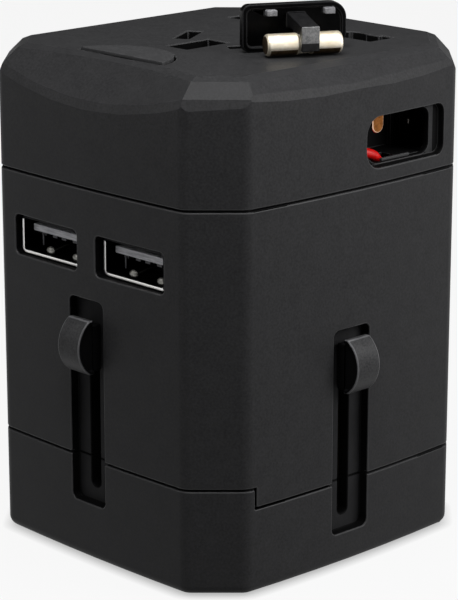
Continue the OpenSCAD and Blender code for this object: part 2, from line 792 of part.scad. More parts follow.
module bottom_cap() {
    color("#2c2d2f") difference() {
        union() {
            difference() {
                slab(0, cap_h, 0);
                slab(floor_t, cap_h + 1, wall);
                translate([0, 0, cap_low]) linear_extrude(overrun) low_side(0);
            }
            difference() {
                lip(cap_low, cap_h);
                for (s = sliders) slider_backing(s, s[6], cap_h + overrun, move_gap);
            }
            difference() {
                ring(cap_low - 1, cap_h, wall - 0.4, wall + lip_gap + lip_t / 2);
                translate([0, 0, cap_low]) linear_extrude(overrun) low_side(-seam_w);
            }
            for (s = sliders) slider_backing(s, floor_t / 2, s[6], 0);
            at_columns() cylinder(r = boss_r, h = column_z);
        }
        for (x = [-1, 1]) {
            translate([x * us_span / 2, us_y, -1]) cylinder(r = blade_hole_r, h = floor_t + 2);
            translate([x * eu_span / 2, eu_y, -1]) cylinder(r = eu_pin_d / 2 + move_gap, h = floor_t + 2);
            translate([x * uk_span / 2, uk_y, 0])
                cube([uk_pin_w + 2 * move_gap, uk_pin_t + 2 * move_gap, 3 * floor_t], center = true);
        }
        translate([0, uk_earth_y, 0])
            cube([uk_pin_t + 2 * move_gap, earth_l + 2 * move_gap, 3 * floor_t], center = true);
        at_columns() {
            translate([0, 0, -1]) cylinder(r = screw_head_r + 0.3, h = screw_recess + 1);
            cylinder(r = screw_r + 0.2, h = column_z + 1);
        }
        for (s = sliders) slider_cut(s);
    }
}

// A pan-head screw, with its head's seat at the origin and its shank upwards
module screw(length) {
    cylinder(r = screw_r, h = length);
    difference() {
        translate([0, 0, -screw_head_t]) cylinder(r = screw_head_r, h = screw_head_t);
        for (a = [0, 90]) rotate([0, 0, a]) translate([0, 0, -screw_head_t])
            cube([2.4, 0.6, 1.6], center = true);
    }
}
module case_screws() {
    color("silver") at_columns() translate([0, 0, screw_recess])
        screw(column_z - screw_recess + screw_bite);
}
module frame_screws() {
    color("silver") at_columns() translate([0, 0, frame_top]) mirror([0, 0, 1]) screw(frame_t + screw_bite);
}

module release_button() {
    color("#4a4947") {
        translate([0, 0, flange_top - flange_t]) linear_extrude(body_h + button_proud - flange_top + flange_t)
            half_moon(0);
        translate([0, 0, flange_top - flange_t]) linear_extrude(flange_t) half_moon(button_flange);
        translate([0, stem_y, guide_top - 4]) cylinder(r = stem_r, h = flange_top - guide_top + 3);
    }
}

module button_spring() {
    rings = spring_turns * 8;
    rise = spring_head - spring_foot;
    path = [for (i = [0:rings]) [spring_r * cos(45 * i), stem_y + spring_r * sin(45 * i),
        spring_foot + rise * i / rings]];
    color("silver") tube(path, spring_wire / 2, 6, [0, 0, 1]);
}

// Places children where the drawer stands: X along its plate, Y away from the fuse, Z up
module at_drawer() {
    translate([drawer_x, drawer_y, body_h + stand_gap]) rotate([0, 0, drawer_turn]) children();
}
module along_fuse(u) {
    translate([u + fuse_u, -fuse_reach, fuse_v]) rotate([0, 90, 0]) children();
}

module fuse_drawer() {
    color("#1c1c1d") at_drawer() {
        difference() {
            translate([0, plate_t, plate_h / 2]) rotate([90, 0, 0]) linear_extrude(plate_t)
                keyed_rect(plate_w, plate_h, plain_r - drawer_gap, key_r - drawer_gap);
            translate([0, rim_depth, plate_h / 2]) rotate([90, 0, 0]) linear_extrude(1)
                keyed_rect(plate_w - 2 * rim_w, plate_h - 2 * rim_w, plain_r - rim_w, key_r - rim_w);
        }
        for (u = tab_u) box([u - 0.8, -0.9, plate_h - 1.7], [u + 0.8, plate_t / 2, plate_h - 0.8]);
        difference() {
            union() {
                box([clip_u - clip_w / 2, -fuse_reach - clip_r, fuse_v - clip_low],
                    [clip_u + clip_w / 2, -fuse_reach + clip_r, plate_h - arm_drop]);
                box([clip_u - clip_w / 2, -fuse_reach, fuse_v + fuse_d / 2],
                    [clip_u + clip_w / 2, plate_t / 2, plate_h - arm_drop]);
            }
            along_fuse(clip_u - fuse_u - clip_w) cylinder(r = fuse_d / 2 + snug, h = 2 * clip_w);
            translate([clip_u, 0, plate_h - arm_drop]) rotate([arm_slope, 0, 0])
                translate([-clip_w, -3 * fuse_reach, 0]) cube([2 * clip_w, 3 * fuse_reach, plate_h]);
        }
    }
}
module fuse_body() {
    color("ivory") at_drawer() along_fuse(-fuse_l / 2 + 0.4)
        cylinder(r = fuse_d / 2 - 0.2, h = fuse_l - 0.8);
}
module fuse_caps() {
    color("#d9cda6") at_drawer() for (end = [0, 1]) difference() {
        along_fuse(end == 0 ? -fuse_l / 2 : fuse_l / 2 - fuse_cap_l) cylinder(r = fuse_d / 2, h = fuse_cap_l);
        along_fuse(-fuse_l / 2 + 0.4) cylinder(r = fuse_d / 2 - 0.2 + 0.03, h = fuse_l - 0.8);
    }
}

module fuse_contact_front() {
    x0 = fuse_axis_x - 1.2;
    x1 = bay_front - 0.5;
    color("#b87333") {
        box([x0, bay_y0, bay_floor + 0.3], [x1, bay_y0 + leaf_t, bay_roof - 0.2]);
        box([x1 - spoon_w, bay_y0, bay_roof - 0.6], [x1, spoon_y + spoon_w / 2, bay_roof - 0.2]);
        box([x1 - leaf_t, spoon_y - spoon_w / 2, spoon_z], [x1, spoon_y + spoon_w / 2, bay_roof - 0.2]);
        translate([x1 - leaf_t, spoon_y, spoon_z]) rotate([0, 90, 0]) cylinder(d = spoon_w, h = leaf_t);
        intersection() {
            translate([x0, bay_y0 + 0.4, fuse_axis_z]) rotate([0, 90, 0]) cylinder(r = 1.5, h = 2);
            box([x0, bay_y0, bay_floor + 0.3], [x1, bay_y0 + 3, bay_roof]);
        }
    }
}
module fuse_contact_rear() {
    x0 = fuse_axis_x - 1.2;
    x1 = fuse_axis_x + 1.2;
    color("#b87333") {
        box([x0, bay_y1 - leaf_t, bay_floor - 0.5], [x1, bay_y1 - 0.05, bay_roof - 0.2]);
        box([fuse_axis_x - 1, bay_y1 - leaf_t, carrier_z], [fuse_axis_x + 1, bay_y1 - 0.05, bay_floor]);
        intersection() {
            translate([x0, bay_y1 - 0.4, fuse_axis_z]) rotate([0, 90, 0]) cylinder(r = 1.5, h = x1 - x0);
            box([x0, bay_y1 - 3, bay_floor + 0.3], [x1, bay_y1 - 0.05, bay_roof]);
        }
    }
}
module fuse_lead() {
    color("#e02020") tube(smooth(lead_route, 3), lead_r, 8, [0.2, 0.5, 1]);
}

module contact_carrier() {
    color("#202122") difference() {
        union() {
            slab(carrier_z, carrier_top, carrier_inset);
            translate([0, 0, carrier_top]) linear_extrude(roof_z - 0.2 - carrier_top) well_plan(well_wall);
            translate([0, stem_y, carrier_top]) cylinder(r = guide_r, h = guide_top - carrier_top);
        }
        translate([0, 0, carrier_top]) linear_extrude(overrun) well_plan(0);
        translate([0, stem_y, carrier_top]) cylinder(r = stem_r + move_gap / 2, h = overrun);
        for (s = [-1, 1]) {
            contact_tabs(s, 0.15);
            box([s * rail_x - rail_t, riser_y[0] - 0.3, carrier_z - 1],
                [s * rail_x + rail_t, riser_y[1] + 0.3, carrier_top + 1]);
        }
        box([fuse_axis_x - 1.3, bay_y1 - leaf_t - 0.3, carrier_z - 1],
            [fuse_axis_x + 1.3, bay_y1 + 0.3, carrier_top + 1]);
    }
}

// Tabs of the spring contacts through the carrier's floor
module contact_tabs(s, grow) {
    for (p = [[uk_span / 2, ln_y], [slant_x, slant_y]])
        translate([s * p[0], p[1], carrier_z + carrier_t / 2])
            cube([tab_w + 2 * grow, leaf_t + 2 * grow, carrier_t + 4 * grow], center = true);
}
// Two spring leaves on a base, standing in a well: inner gap, length of the leaves, height
module leaf_pair(inner, length, height) {
    outer = inner + 2 * leaf_t;
    for (y = [-outer / 2, inner / 2]) translate([-length / 2, y, 0]) cube([length, leaf_t, height]);
    translate([-length / 2, -outer / 2, 0]) cube([length, outer, leaf_t]);
}
// A flat strap below the carrier between two plan points
module strap(a, b) {
    way = b - a;
    translate([a[0], a[1], carrier_z - strap_t]) rotate([0, 0, atan2(way[1], way[0])])
        translate([-strap_w / 2, -strap_w / 2, 0]) cube([norm(way) + strap_w, strap_w, strap_t]);
}
// Spring contacts of one pole: side 1 is live, side -1 is neutral, ending in a branch strap
module pole_contacts(s, branch) {
    leaf_h = roof_z - carrier_top - 2;
    translate([s * (ln_x0 + ln_x1) / 2, ln_y, carrier_top])
        leaf_pair(round_hole_d + 2 * leaf_gap, ln_x1 - ln_x0, leaf_h);
    translate([s * slant_x, slant_y, carrier_top]) rotate([0, 0, 90 - s * slant_turn])
        leaf_pair(slant_w + 2 * leaf_gap, slant_l, leaf_h);
    contact_tabs(s, 0);
    strap([s * uk_span / 2, ln_y], [s * slant_x, slant_y]);
    strap([s * uk_span / 2, ln_y], branch);
}
module live_contacts() {
    color("#c8a252") pole_contacts(1, [fuse_axis_x, bay_y1 - leaf_t / 2]);
}
module neutral_contacts() {
    color("#c8a252") pole_contacts(-1, [-rail_x, (riser_y[0] + riser_y[1]) / 2]);
}

module inner_frame() {
    color("#27282a") difference() {
        union() {
            slab(frame_z, frame_top, wall + 0.25);
            for (x = [-1, 1]) for (y = [-1, 1]) {
                translate([x * post_x, y * post_y, frame_z]) cylinder(r = post_r, h = carrier_z - frame_z);
                translate([x * board_post_x, y < 0 ? board_front + 4 : board_back - 4, frame_z])
                    cylinder(r = board_post_r, h = board_z - frame_z);
            }
        }
        for (s = sliders) slider_backing(s, frame_z - 1, frame_top + 1, move_gap);
        at_columns() translate([0, 0, frame_z - 1]) cylinder(r = screw_r + snug, h = frame_t + 2);
        for (x = [-1, 1]) box([x * rail_x - rail_t, riser_y[0] - 0.3, frame_z - 1],
            [x * rail_x + rail_t, riser_y[1] + 0.3, frame_top + 1]);
    }
}

// A stamped rail in an upright plane: a top bar, legs beside the carriages, a riser to the contacts
module rail(s, legs, top) {
    x0 = s * rail_x - rail_t / 2;
    x1 = s * rail_x + rail_t / 2;
    box([x0, us_y + us_bar_d / 2 - 1.5, frame_z - rail_bar_h], [x1, riser_y[1], frame_z]);
    for (leg = legs) box([x0, leg[0], rail_foot_z], [x1, leg[1], frame_z]);
    box([x0, riser_y[0], frame_z - rail_bar_h], [x1, riser_y[1], top]);
}
module live_rail() {
    color("#c8a252") rail(1, [us_leg, uk_leg], carrier_top + 1.8);
}
module neutral_rail() {
    color("#c8a252") rail(-1, [us_leg, eu_leg, uk_leg], carrier_z - strap_t);
}

module circuit_board() {
    color("#2f6b3a") box([-board_half, board_front, board_z], [board_half, board_back, board_top]);
}
module transformer_core() {
    color("#3c3a3a") translate([0, core_y, board_top]) difference() {
        box([-core_w / 2, -core_d / 2, 0], [core_w / 2, core_d / 2, core_h]);
        for (x = [-1, 1]) translate([x * core_w / 4, 0, core_h / 2])
            cube([core_window, core_d + 2, coil_h + 2 * move_gap], center = true);
    }
}
module transformer_coil() {
    color("#d8b23c") translate([0, core_y, board_top + core_h / 2]) difference() {
        cube([core_w / 2 + core_window - 2 * move_gap, core_d + 2 * coil_over, coil_h], center = true);
        cube([core_w / 2 - core_window + 2 * snug, core_d + 2 * snug, overrun], center = true);
    }
}
module capacitors() {
    color("#2b3f6b") for (x = [-1, 1]) translate([x * can_x, core_y - 2, board_top]) {
        cylinder(d = can_d, h = can_h - 0.4);
        cylinder(d = can_d - 1, h = can_h);
    }
}
module control_chip() {
    color("#18181a") translate([0, chip_y, board_top]) {
        box([-chip_w / 2, -chip_d / 2, 0.15], [chip_w / 2, chip_d / 2, chip_h]);
        for (turn = [0, 180]) rotate([0, 0, turn]) for (j = [-1.5:1:1.5])
            box([j * pitch - 0.2, chip_d / 2 - 0.2, 0], [j * pitch + 0.2, chip_d / 2 + 1, 0.4]);
    }
}

module at_port(s) {
    translate([usb_offset + s * usb_x, usb_front, usb_z]) children();
}
module usb_shell(s) {
    in_w = usb_w / 2 - usb_t;
    in_h = usb_h / 2 - usb_t;
    at_port(s) {
        difference() {
            box([-usb_w / 2, 0, -usb_h / 2], [usb_w / 2, usb_l, usb_h / 2]);
            box([-in_w, -1, -in_h], [in_w, usb_l + 1, in_h]);
        }
        for (x = [-1, 1]) intersection() {
            translate([x * 2.9 - 0.8, 3, -in_h - 0.8]) rotate([0, 90, 0]) cylinder(r = 1.3, h = 1.6);
            box([-in_w, 0, -usb_h / 2], [in_w, usb_l, 0]);
        }
    }
}
module usb_tongue(s) {
    in_w = usb_w / 2 - usb_t - snug;
    in_h = usb_h / 2 - usb_t - snug;
    at_port(s) {
        box([-in_w, usb_l - 4, -in_h], [in_w, usb_l - 0.2, in_h]);
        box([-tongue_w / 2, tongue_back, tongue_up - tongue_t / 2],
            [tongue_w / 2, usb_l - 3, tongue_up + tongue_t / 2]);
    }
}
module usb_shell_left() {
    color("silver") usb_shell(-1);
}
module usb_shell_right() {
    color("silver") usb_shell(1);
}
module usb_tongue_left() {
    color("#8c8f96") usb_tongue(-1);
}
module usb_tongue_right() {
    color("#8c8f96") usb_tongue(1);
}
module usb_contacts() {
    top = tongue_up - tongue_t / 2;
    color("#d9b860") for (s = [-1, 1]) at_port(s) for (x = [-3.5, -1, 1, 3.5])
        box([x - 0.5, tongue_back + 0.3, top - tongue_contact_t], [x + 0.5, usb_l - 4, top]);
}

module us_knob() {
    color("#3d3e40") knob(us_slider);
}
module eu_knob() {
    color("#3d3e40") knob(eu_slider);
}
module uk_knob() {
    color("#3d3e40") knob(uk_slider);
}

module us_carriage() {
    front = us_y - us_bar_d / 2;
    color("#252628") difference() {
        union() {
            box([-us_bar_half, front, bar_z], [us_bar_half, us_y + us_bar_d / 2, bar_top]);
            box([us_offset - riser_w / 2, front, bar_z],
                [us_offset + riser_w / 2, front + riser_d, us_knob_z + neck_h / 2]);
            neck(us_slider, front + body_d / 2 + 1);
        }
        for (x = [-1, 1]) translate([x * us_span / 2, us_y, bar_z - 1])
            cylinder(r = pivot_r + snug, h = bar_h + 2);
    }
}
// A flat wiper on top of the bars, from one X to another
module wiper(x0, x1, y) {
    box([x0, y - wiper_w / 2, bar_top], [x1, y + wiper_w / 2, bar_top + wiper_t]);
}
module us_wipers() {
    color("#c8a252") for (s = [-1, 1]) mirror([s < 0 ? 1 : 0, 0, 0])
        wiper(us_span / 2 + pivot_head_r + end_gap, rail_x - rail_t / 2 - 0.2,
            us_y + us_bar_d / 2 - wiper_w / 2 - 0.1);
}
// A flat blade on a round pivot that turns in the carriage's bar
module us_blade(s) {
    color("#c9c5b8") translate([s * us_span / 2, us_y, 0]) {
        box([-blade_t / 2, -blade_w / 2, us_tip + 0.8], [blade_t / 2, blade_w / 2, bar_z - 0.5]);
        box([-blade_t / 2 + 0.3, -blade_w / 2 + 0.8, us_tip],
            [blade_t / 2 - 0.3, blade_w / 2 - 0.8, us_tip + 1]);
        translate([0, 0, bar_z - 0.1 - pivot_head_t]) cylinder(r = pivot_head_r, h = pivot_head_t);
        translate([0, 0, bar_z - 0.5]) cylinder(r = pivot_r, h = bar_h + 1);
        translate([0, 0, bar_top + 0.1]) cylinder(r = pivot_head_r, h = pivot_head_t);
    }
}
module us_blade_left() {
    us_blade(-1);
}
module us_blade_right() {
    us_blade(1);
}

module eu_carriage() {
    side = eu_offset + riser_w / 4;
    color("#252628") difference() {
        union() {
            box([-eu_bar_half, eu_y - eu_bar_d / 2, bar_z], [foot_x + foot_w, eu_y + eu_bar_d / 2, bar_top]);
            box([foot_x, eu_y - eu_bar_d / 2, bar_z], [foot_x + foot_w, side, bar_top]);
            box([foot_x + foot_w - riser_d, side - riser_w / 2, bar_z],
                [foot_x + foot_w, side, eu_knob_z + neck_h / 2]);
            neck(eu_slider, body_w / 2 - foot_x - foot_w + 1);
        }
        for (x = [-1, 1]) translate([x * eu_span / 2, eu_y, bar_z - 1])
            cylinder(d = eu_pin_d + 2 * snug, h = bar_h + 2);
    }
}
module eu_wipers() {
    color("#c8a252") {
        wiper(-rail_x + rail_t / 2 + 0.2, -eu_span / 2, eu_y);
        wiper(eu_span / 2, foot_x + 1, eu_y);
        wiper(rail_x + rail_t / 2 + 0.2, foot_x + 2, uk_y);
        box([foot_x + 0.8, eu_y - wiper_w / 2, bar_top], [foot_x + 2, uk_y, bar_top + wiper_t]);
    }
}
module eu_pins() {
    top = bar_z - sleeve_l;
    color("#cfcabb") for (x = [-1, 1]) translate([x * eu_span / 2, eu_y, 0]) {
        translate([0, 0, eu_tip]) cylinder(d1 = eu_pin_d - 1.2, d2 = eu_pin_d, h = 1.2);
        translate([0, 0, eu_tip + 1.2]) cylinder(d = eu_pin_d, h = top - eu_tip - 1.2);
        translate([0, 0, top - 1]) cylinder(d = eu_pin_d - 1, h = sleeve_l + 1.5);
        translate([0, 0, bar_z]) cylinder(d = eu_pin_d, h = bar_h);
    }
}
module eu_sleeves() {
    color("#1d1e1f") for (x = [-1, 1]) translate([x * eu_span / 2, eu_y, bar_z - sleeve_l]) difference() {
        cylinder(d = eu_pin_d, h = sleeve_l);
        translate([0, 0, -1]) cylinder(d = eu_pin_d - 1 + 2 * snug, h = sleeve_l + 2);
    }
}

module uk_carriage() {
    back = uk_earth_y + earth_l / 2 + 1;
    color("#252628") difference() {
        union() {
            box([-uk_bar_half, uk_y - uk_bar_d / 2, bar_z], [uk_bar_half, uk_y + uk_bar_d / 2, bar_top]);
            box([-uk_pin_t / 2 - 2, uk_y, bar_z], [uk_pin_t / 2 + 2, back, bar_top]);
            box([-riser_w / 2, back - riser_d, bar_z], [riser_w / 2, back, us_knob_z + neck_h / 2]);
            neck(uk_slider, body_d / 2 - back + 1);
        }
        for (x = [-1, 1]) translate([x * uk_span / 2, uk_y, bar_z + bar_h / 2])
            cube([uk_pin_w + 2 * snug, uk_pin_t + 2 * snug, bar_h + 2], center = true);
        translate([0, uk_earth_y, bar_z])
            cube([uk_pin_t + 2 * snug, earth_l + 2 * snug, bar_h], center = true);
    }
}
module uk_wipers() {
    color("#c8a252") for (s = [-1, 1]) mirror([s < 0 ? 1 : 0, 0, 0])
        wiper(uk_span / 2, rail_x - rail_t / 2 - 0.2, uk_y);
}
// A square-section bar between two heights
module pin_bar(w, t, z0, z1) {
    box([-w / 2, -t / 2, z0], [w / 2, t / 2, z1]);
}
module uk_pins() {
    color("#cfcabb") for (x = [-1, 1]) translate([x * uk_span / 2, uk_y, 0]) {
        pin_bar(uk_pin_w - 1.4, uk_pin_t - 1.4, uk_tip, uk_tip + 1);
        pin_bar(uk_pin_w, uk_pin_t, uk_tip + 0.8, bar_z - sleeve_l);
        pin_bar(uk_pin_w - 1, uk_pin_t - 1, bar_z - sleeve_l - 1, bar_z + 1);
        pin_bar(uk_pin_w, uk_pin_t, bar_z, bar_top);
    }
}
module uk_sleeves() {
    color("#1d1e1f") for (x = [-1, 1]) translate([x * uk_span / 2, uk_y, 0]) difference() {
        pin_bar(uk_pin_w, uk_pin_t, bar_z - sleeve_l, bar_z);
        pin_bar(uk_pin_w - 1 + 2 * snug, uk_pin_t - 1 + 2 * snug, bar_z - sleeve_l - 1, bar_z + 1);
    }
}
module uk_earth_pin() {
    color("#1d1e1f") translate([0, uk_earth_y, 0]) {
        pin_bar(uk_pin_t - 1.2, earth_l - 1.2, earth_tip, earth_tip + 1);
        pin_bar(uk_pin_t, earth_l, earth_tip + 0.8, bar_z + bar_h / 2);
    }
}

socket_head();
middle_shell();
bottom_cap();
case_screws();
release_button();
button_spring();
fuse_drawer();
fuse_body();
fuse_caps();
fuse_holder();
fuse_contact_front();
fuse_contact_rear();
fuse_lead();
contact_carrier();
live_contacts();
neutral_contacts();
inner_frame();
frame_screws();
live_rail();
neutral_rail();
circuit_board();
transformer_core();
transformer_coil();
capacitors();
control_chip();
usb_shell_left();
usb_shell_right();
usb_tongue_left();
usb_tongue_right();
usb_contacts();
us_knob();
us_carriage();
us_wipers();
us_blade_left();
us_blade_right();
eu_knob();
eu_carriage();
eu_wipers();
eu_pins();
eu_sleeves();
uk_knob();
uk_carriage();
uk_wipers();
uk_pins();
uk_sleeves();
uk_earth_pin();
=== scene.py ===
"""Looks of a universal travel adapter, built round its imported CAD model.

Sizes in the classes are millimetres in the part's own frame: Z is up, the USB
ports face -Y, the fuse slot faces +X and the origin is the centre of the base.
"""

import logging
import math
from dataclasses import dataclass, field
from enum import Enum
from typing import Any, Callable, ClassVar

import bmesh
import bpy
from mathutils import Matrix, Vector


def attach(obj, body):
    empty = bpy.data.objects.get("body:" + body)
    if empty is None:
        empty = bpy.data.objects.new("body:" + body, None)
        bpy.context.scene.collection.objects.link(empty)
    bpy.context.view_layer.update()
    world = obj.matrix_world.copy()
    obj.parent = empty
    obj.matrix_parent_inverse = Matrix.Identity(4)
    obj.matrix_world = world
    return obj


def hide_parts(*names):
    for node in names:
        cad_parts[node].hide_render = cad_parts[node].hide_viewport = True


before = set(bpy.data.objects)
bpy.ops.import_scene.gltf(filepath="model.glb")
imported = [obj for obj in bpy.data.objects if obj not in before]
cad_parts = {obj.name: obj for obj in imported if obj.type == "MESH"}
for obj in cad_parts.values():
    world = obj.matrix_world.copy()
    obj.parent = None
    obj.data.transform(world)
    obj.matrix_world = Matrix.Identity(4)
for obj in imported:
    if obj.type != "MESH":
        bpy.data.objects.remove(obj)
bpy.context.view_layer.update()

MM = 0.001
LOG = logging.getLogger("travel_adapter")

# Points of a CAD mesh closer than this are one, and faces that turn less, in degrees, are one.
MERGE_GAP = 0.002
FLAT_TURN = 0.4
# Edges that turn more than this many degrees are sharp.
SHARP_TURN = 32.0
# Parts of a normal along an axis: more than the first faces along it, less than the second across it.
FACING = 0.9
ACROSS = 0.3
# How every rounding is made: its faces take the object's second finish.
ROUNDING = {"use_clamp_overlap": False, "loop_slide": False, "material": 1, "miter_outer": "MITER_ARC"}

Test = Callable[[Vector, Vector], bool]


class Body(Enum):
    """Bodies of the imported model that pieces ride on."""

    CASING = "casing"
    US_SLIDER = "us_slider"
    US_LEFT = "us_left"
    US_RIGHT = "us_right"
    EU_SLIDER = "eu_slider"
    UK_SLIDER = "uk_slider"
    BUTTON = "button"
    DRAWER = "drawer"


class Slot(Enum):
    """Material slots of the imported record."""

    HEAD = "head_plastic"
    SHELL = "shell_plastic"
    CAP = "cap_plastic"
    KNOB = "knob_plastic"
    BUTTON = "button_plastic"
    DRAWER = "drawer_plastic"
    INNER = "inner_plastic"
    SLEEVE = "sleeve_plastic"
    TONGUE = "tongue_plastic"
    NICKEL_BRASS = "nickel_brass"
    CONTACT_BRASS = "contact_brass"
    COPPER = "copper_strip"
    STEEL = "steel"
    LEAD = "lead_red"
    CERAMIC = "fuse_ceramic"
    FUSE_CAP = "fuse_cap_metal"


class Element(Enum):
    """Elements of a mesh that can be selected."""

    FACE = "FACE"
    EDGE = "EDGE"


def linear(code: str) -> tuple[float, float, float, float]:
    """Turns an sRGB hex colour into linear values.

    Args:
        code: The colour as #rrggbb.

    Returns:
        Linear red, green, blue and an alpha of 1.
    """
    parts = [int(code[i:i + 2], 16) / 255 for i in (1, 3, 5)]
    red, green, blue = (
        c / 12.92 if c <= 0.04045 else ((c + 0.055) / 1.055) ** 2.4 for c in parts
    )
    return (red, green, blue, 1.0)


def per_mm(size: float) -> float:
    """Texture scale in metre coordinates that repeats about once per size in millimetres."""
    return 1 / (size * MM)


def add_node(tree: bpy.types.NodeTree, kind: str, inputs: dict[int | str, Any] | None = None,
             **settings: Any) -> bpy.types.Node:
    """Adds a node with its settings, values and links.

    Args:
        tree: The node tree that gets the node.
        kind: The node's type name.
        inputs: Values or output sockets for the node's inputs, by name or place.
        settings: Properties of the node itself.

    Returns:
        The new node.
    """
    node = tree.nodes.new(kind)
    for name, value in settings.items():
        setattr(node, name, value)
    for key, value in (inputs or {}).items():
        if isinstance(value, bpy.types.NodeSocket):
            tree.links.new(value, node.inputs[key])
        else:
            node.inputs[key].default_value = value
    return node


@dataclass(frozen=True)
class Finish:
    """A surface finish: two tones mixed by a mottle, and a fine grain in roughness and bump.

    Attributes:
        name: The real material and how its surface was made.
        tone: Lighter tone of the mottle.
        shade: Darker tone of the mottle.
        roughness: Mean roughness.
        spread: How far the grain moves the roughness up and down.
        specular: Specular level of a plastic or ceramic.
        metallic: 1 for a metal.
        mottle: Size of the mottle's patches.
        grain: Size of the grain.
        relief: Depth of the grain.
        stretch: Stretch of the grain along X, Y and Z, for rolled or drawn metal.
        speckle: Share of the grain, beside the mottle, in the mix of the two tones.
    """

    tone_range: ClassVar[tuple[float, float]] = (0.3, 0.7)
    grit_range: ClassVar[tuple[float, float]] = (0.25, 0.75)
    mottle_detail: ClassVar[float] = 4.0
    mottle_harshness: ClassVar[float] = 0.6
    grit_detail: ClassVar[float] = 2.0
    bump_strength: ClassVar[float] = 0.6

    name: str
    tone: str
    shade: str
    roughness: float
    spread: float = 0.06
    specular: float = 0.5
    metallic: float = 0.0
    mottle: float = 3.0
    grain: float = 0.3
    relief: float = 0.01
    stretch: tuple[float, float, float] = (1.0, 1.0, 1.0)
    speckle: float = 0.3

    def material(self) -> bpy.types.Material:
        """Makes the node material, the first time that it is asked for.

        Returns:
            The material, named for the finish.
        """
        found = bpy.data.materials.get(self.name)
        if found:
            return found
        made = bpy.data.materials.new(self.name)
        made.use_nodes = True
        tree = made.node_tree
        shader = tree.nodes["Principled BSDF"]
        place = add_node(tree, "ShaderNodeTexCoord").outputs["Object"]
        along = add_node(tree, "ShaderNodeMapping", {"Vector": place, "Scale": self.stretch})
        patches = add_node(tree, "ShaderNodeTexNoise", {
            "Vector": place, "Scale": per_mm(self.mottle), "Detail": self.mottle_detail,
            "Roughness": self.mottle_harshness})
        grit = add_node(tree, "ShaderNodeTexNoise", {
            "Vector": along.outputs["Vector"], "Scale": per_mm(self.grain), "Detail": self.grit_detail})
        broad, fine = (add_node(tree, "ShaderNodeMapRange", {
            "Value": source.outputs["Fac"], "From Min": self.tone_range[0],
            "From Max": self.tone_range[1]}) for source in (patches, grit))
        blend = add_node(tree, "ShaderNodeMix", {
            0: self.speckle, 2: broad.outputs["Result"], 3: fine.outputs["Result"]})
        colour = add_node(tree, "ShaderNodeMix", {
            0: blend.outputs[0], 6: linear(self.shade), 7: linear(self.tone)}, data_type="RGBA")
        rough = add_node(tree, "ShaderNodeMapRange", {
            "Value": grit.outputs["Fac"], "From Min": self.grit_range[0], "From Max": self.grit_range[1],
            "To Min": self.roughness - self.spread, "To Max": self.roughness + self.spread})
        bump = add_node(tree, "ShaderNodeBump", {
            "Height": grit.outputs["Fac"], "Strength": self.bump_strength,
            "Distance": self.relief * MM})
        tree.links.new(colour.outputs[2], shader.inputs["Base Color"])
        tree.links.new(rough.outputs["Result"], shader.inputs["Roughness"])
        tree.links.new(bump.outputs["Normal"], shader.inputs["Normal"])
        shader.inputs["Metallic"].default_value = self.metallic
        if not self.metallic:
            shader.inputs["Specular IOR Level"].default_value = self.specular
        return made


# Real grit and rolling marks are under 0.1 mm, so every grain is drawn at 0.2 mm or more to show.

# Charcoal ABS from a spark-eroded mould: matt, with a fine even grit and soft clouding.
SHELL = Finish("abs_spark_eroded_charcoal", "#323233", "#242425", 0.48, specular=0.09,
               grain=0.34, relief=0.014, speckle=0.7)
# The same ABS, a little lighter on its rounded edges as a painted highlight: a thin light line along
# them.
SHELL_EDGE = Finish("abs_charcoal_edge_painted_highlight", "#3a3a3b", "#303031", 0.45, specular=0.2,
                    grain=0.5, relief=0.004)
# Painted shade on the walls inside holes, slots and openings, almost black.
SHELL_CUT = Finish("abs_charcoal_cut_painted_shade", "#0a0a0b", "#060606", 0.6, specular=0.05,
                   grain=0.5, relief=0.004)
# Floors of the pockets, smoother, and darker as painted shade.
SHELL_FLOOR = Finish("abs_charcoal_fine_floor_painted_shade", "#2c2c2d", "#212122", 0.55, specular=0.05,
                     grain=0.4, relief=0.006)
# Fronts of the thumb knobs in a lighter, finer ABS.
KNOB = Finish("abs_knob_fine_grit", "#404041", "#242425", 0.48, specular=0.12,
              grain=0.28, relief=0.014, speckle=0.7)
# Their rims, pale as a painted highlight.
KNOB_RIM = Finish("abs_knob_rim_painted_highlight", "#68686a", "#4a4a4c", 0.4, specular=0.3, relief=0.004)
# Sunk cheeks of the knobs in painted shade, almost black.
KNOB_SIDE = Finish("abs_knob_cheek_painted_shade", "#0d0d0e", "#080809", 0.5, specular=0.08,
                   grain=0.4, relief=0.006)
# Button in the same matt charcoal ABS, a shade lighter.
BUTTON = Finish("abs_button_spark_eroded", "#3c3c3d", "#2b2b2c", 0.48, specular=0.12,
                grain=0.34, relief=0.014, speckle=0.7)
# Fuse drawer in satin black ABS, smooth enough to show long soft lights.
DRAWER = Finish("abs_satin_black", "#060607", "#020202", 0.3, 0.05, specular=0.03,
                grain=0.6, relief=0.003)
# Its moulded edges, lighter as a painted highlight, in a dark grey that the arm and the clip's lower part
# take too.
DRAWER_RIM = Finish("abs_black_rim_highlight_and_arm", "#1f1f20", "#0e0e0f", 0.4, specular=0.12,
                    mottle=1.2, grain=0.5, relief=0.004)
# Its two catches, rubbed to a light grey.
CATCH = Finish("abs_black_scuffed_catch", "#8c8c8f", "#4e4e51", 0.4, specular=0.3,
               mottle=0.8, relief=0.006)
# Grey clip round the fuse, with fine scratches, put on its upper front only as a painted highlight.
CLIP = Finish("nylon_clip_scratched_and_highlight", "#808080", "#3e3e3f", 0.42, specular=0.3, relief=0.02,
              stretch=(0.3, 1.0, 1.0), speckle=0.6)
# Inner mouldings in plain black ABS, dull and dark.
INNER = Finish("abs_inner_black", "#0d0d0e", "#080809", 0.55, specular=0.12, grain=0.5, relief=0.008)
# Insulating sleeves of the pins, smooth black nylon.
SLEEVE = Finish("nylon_sleeve_black", "#16171a", "#101113", 0.36, grain=0.4, relief=0.004)
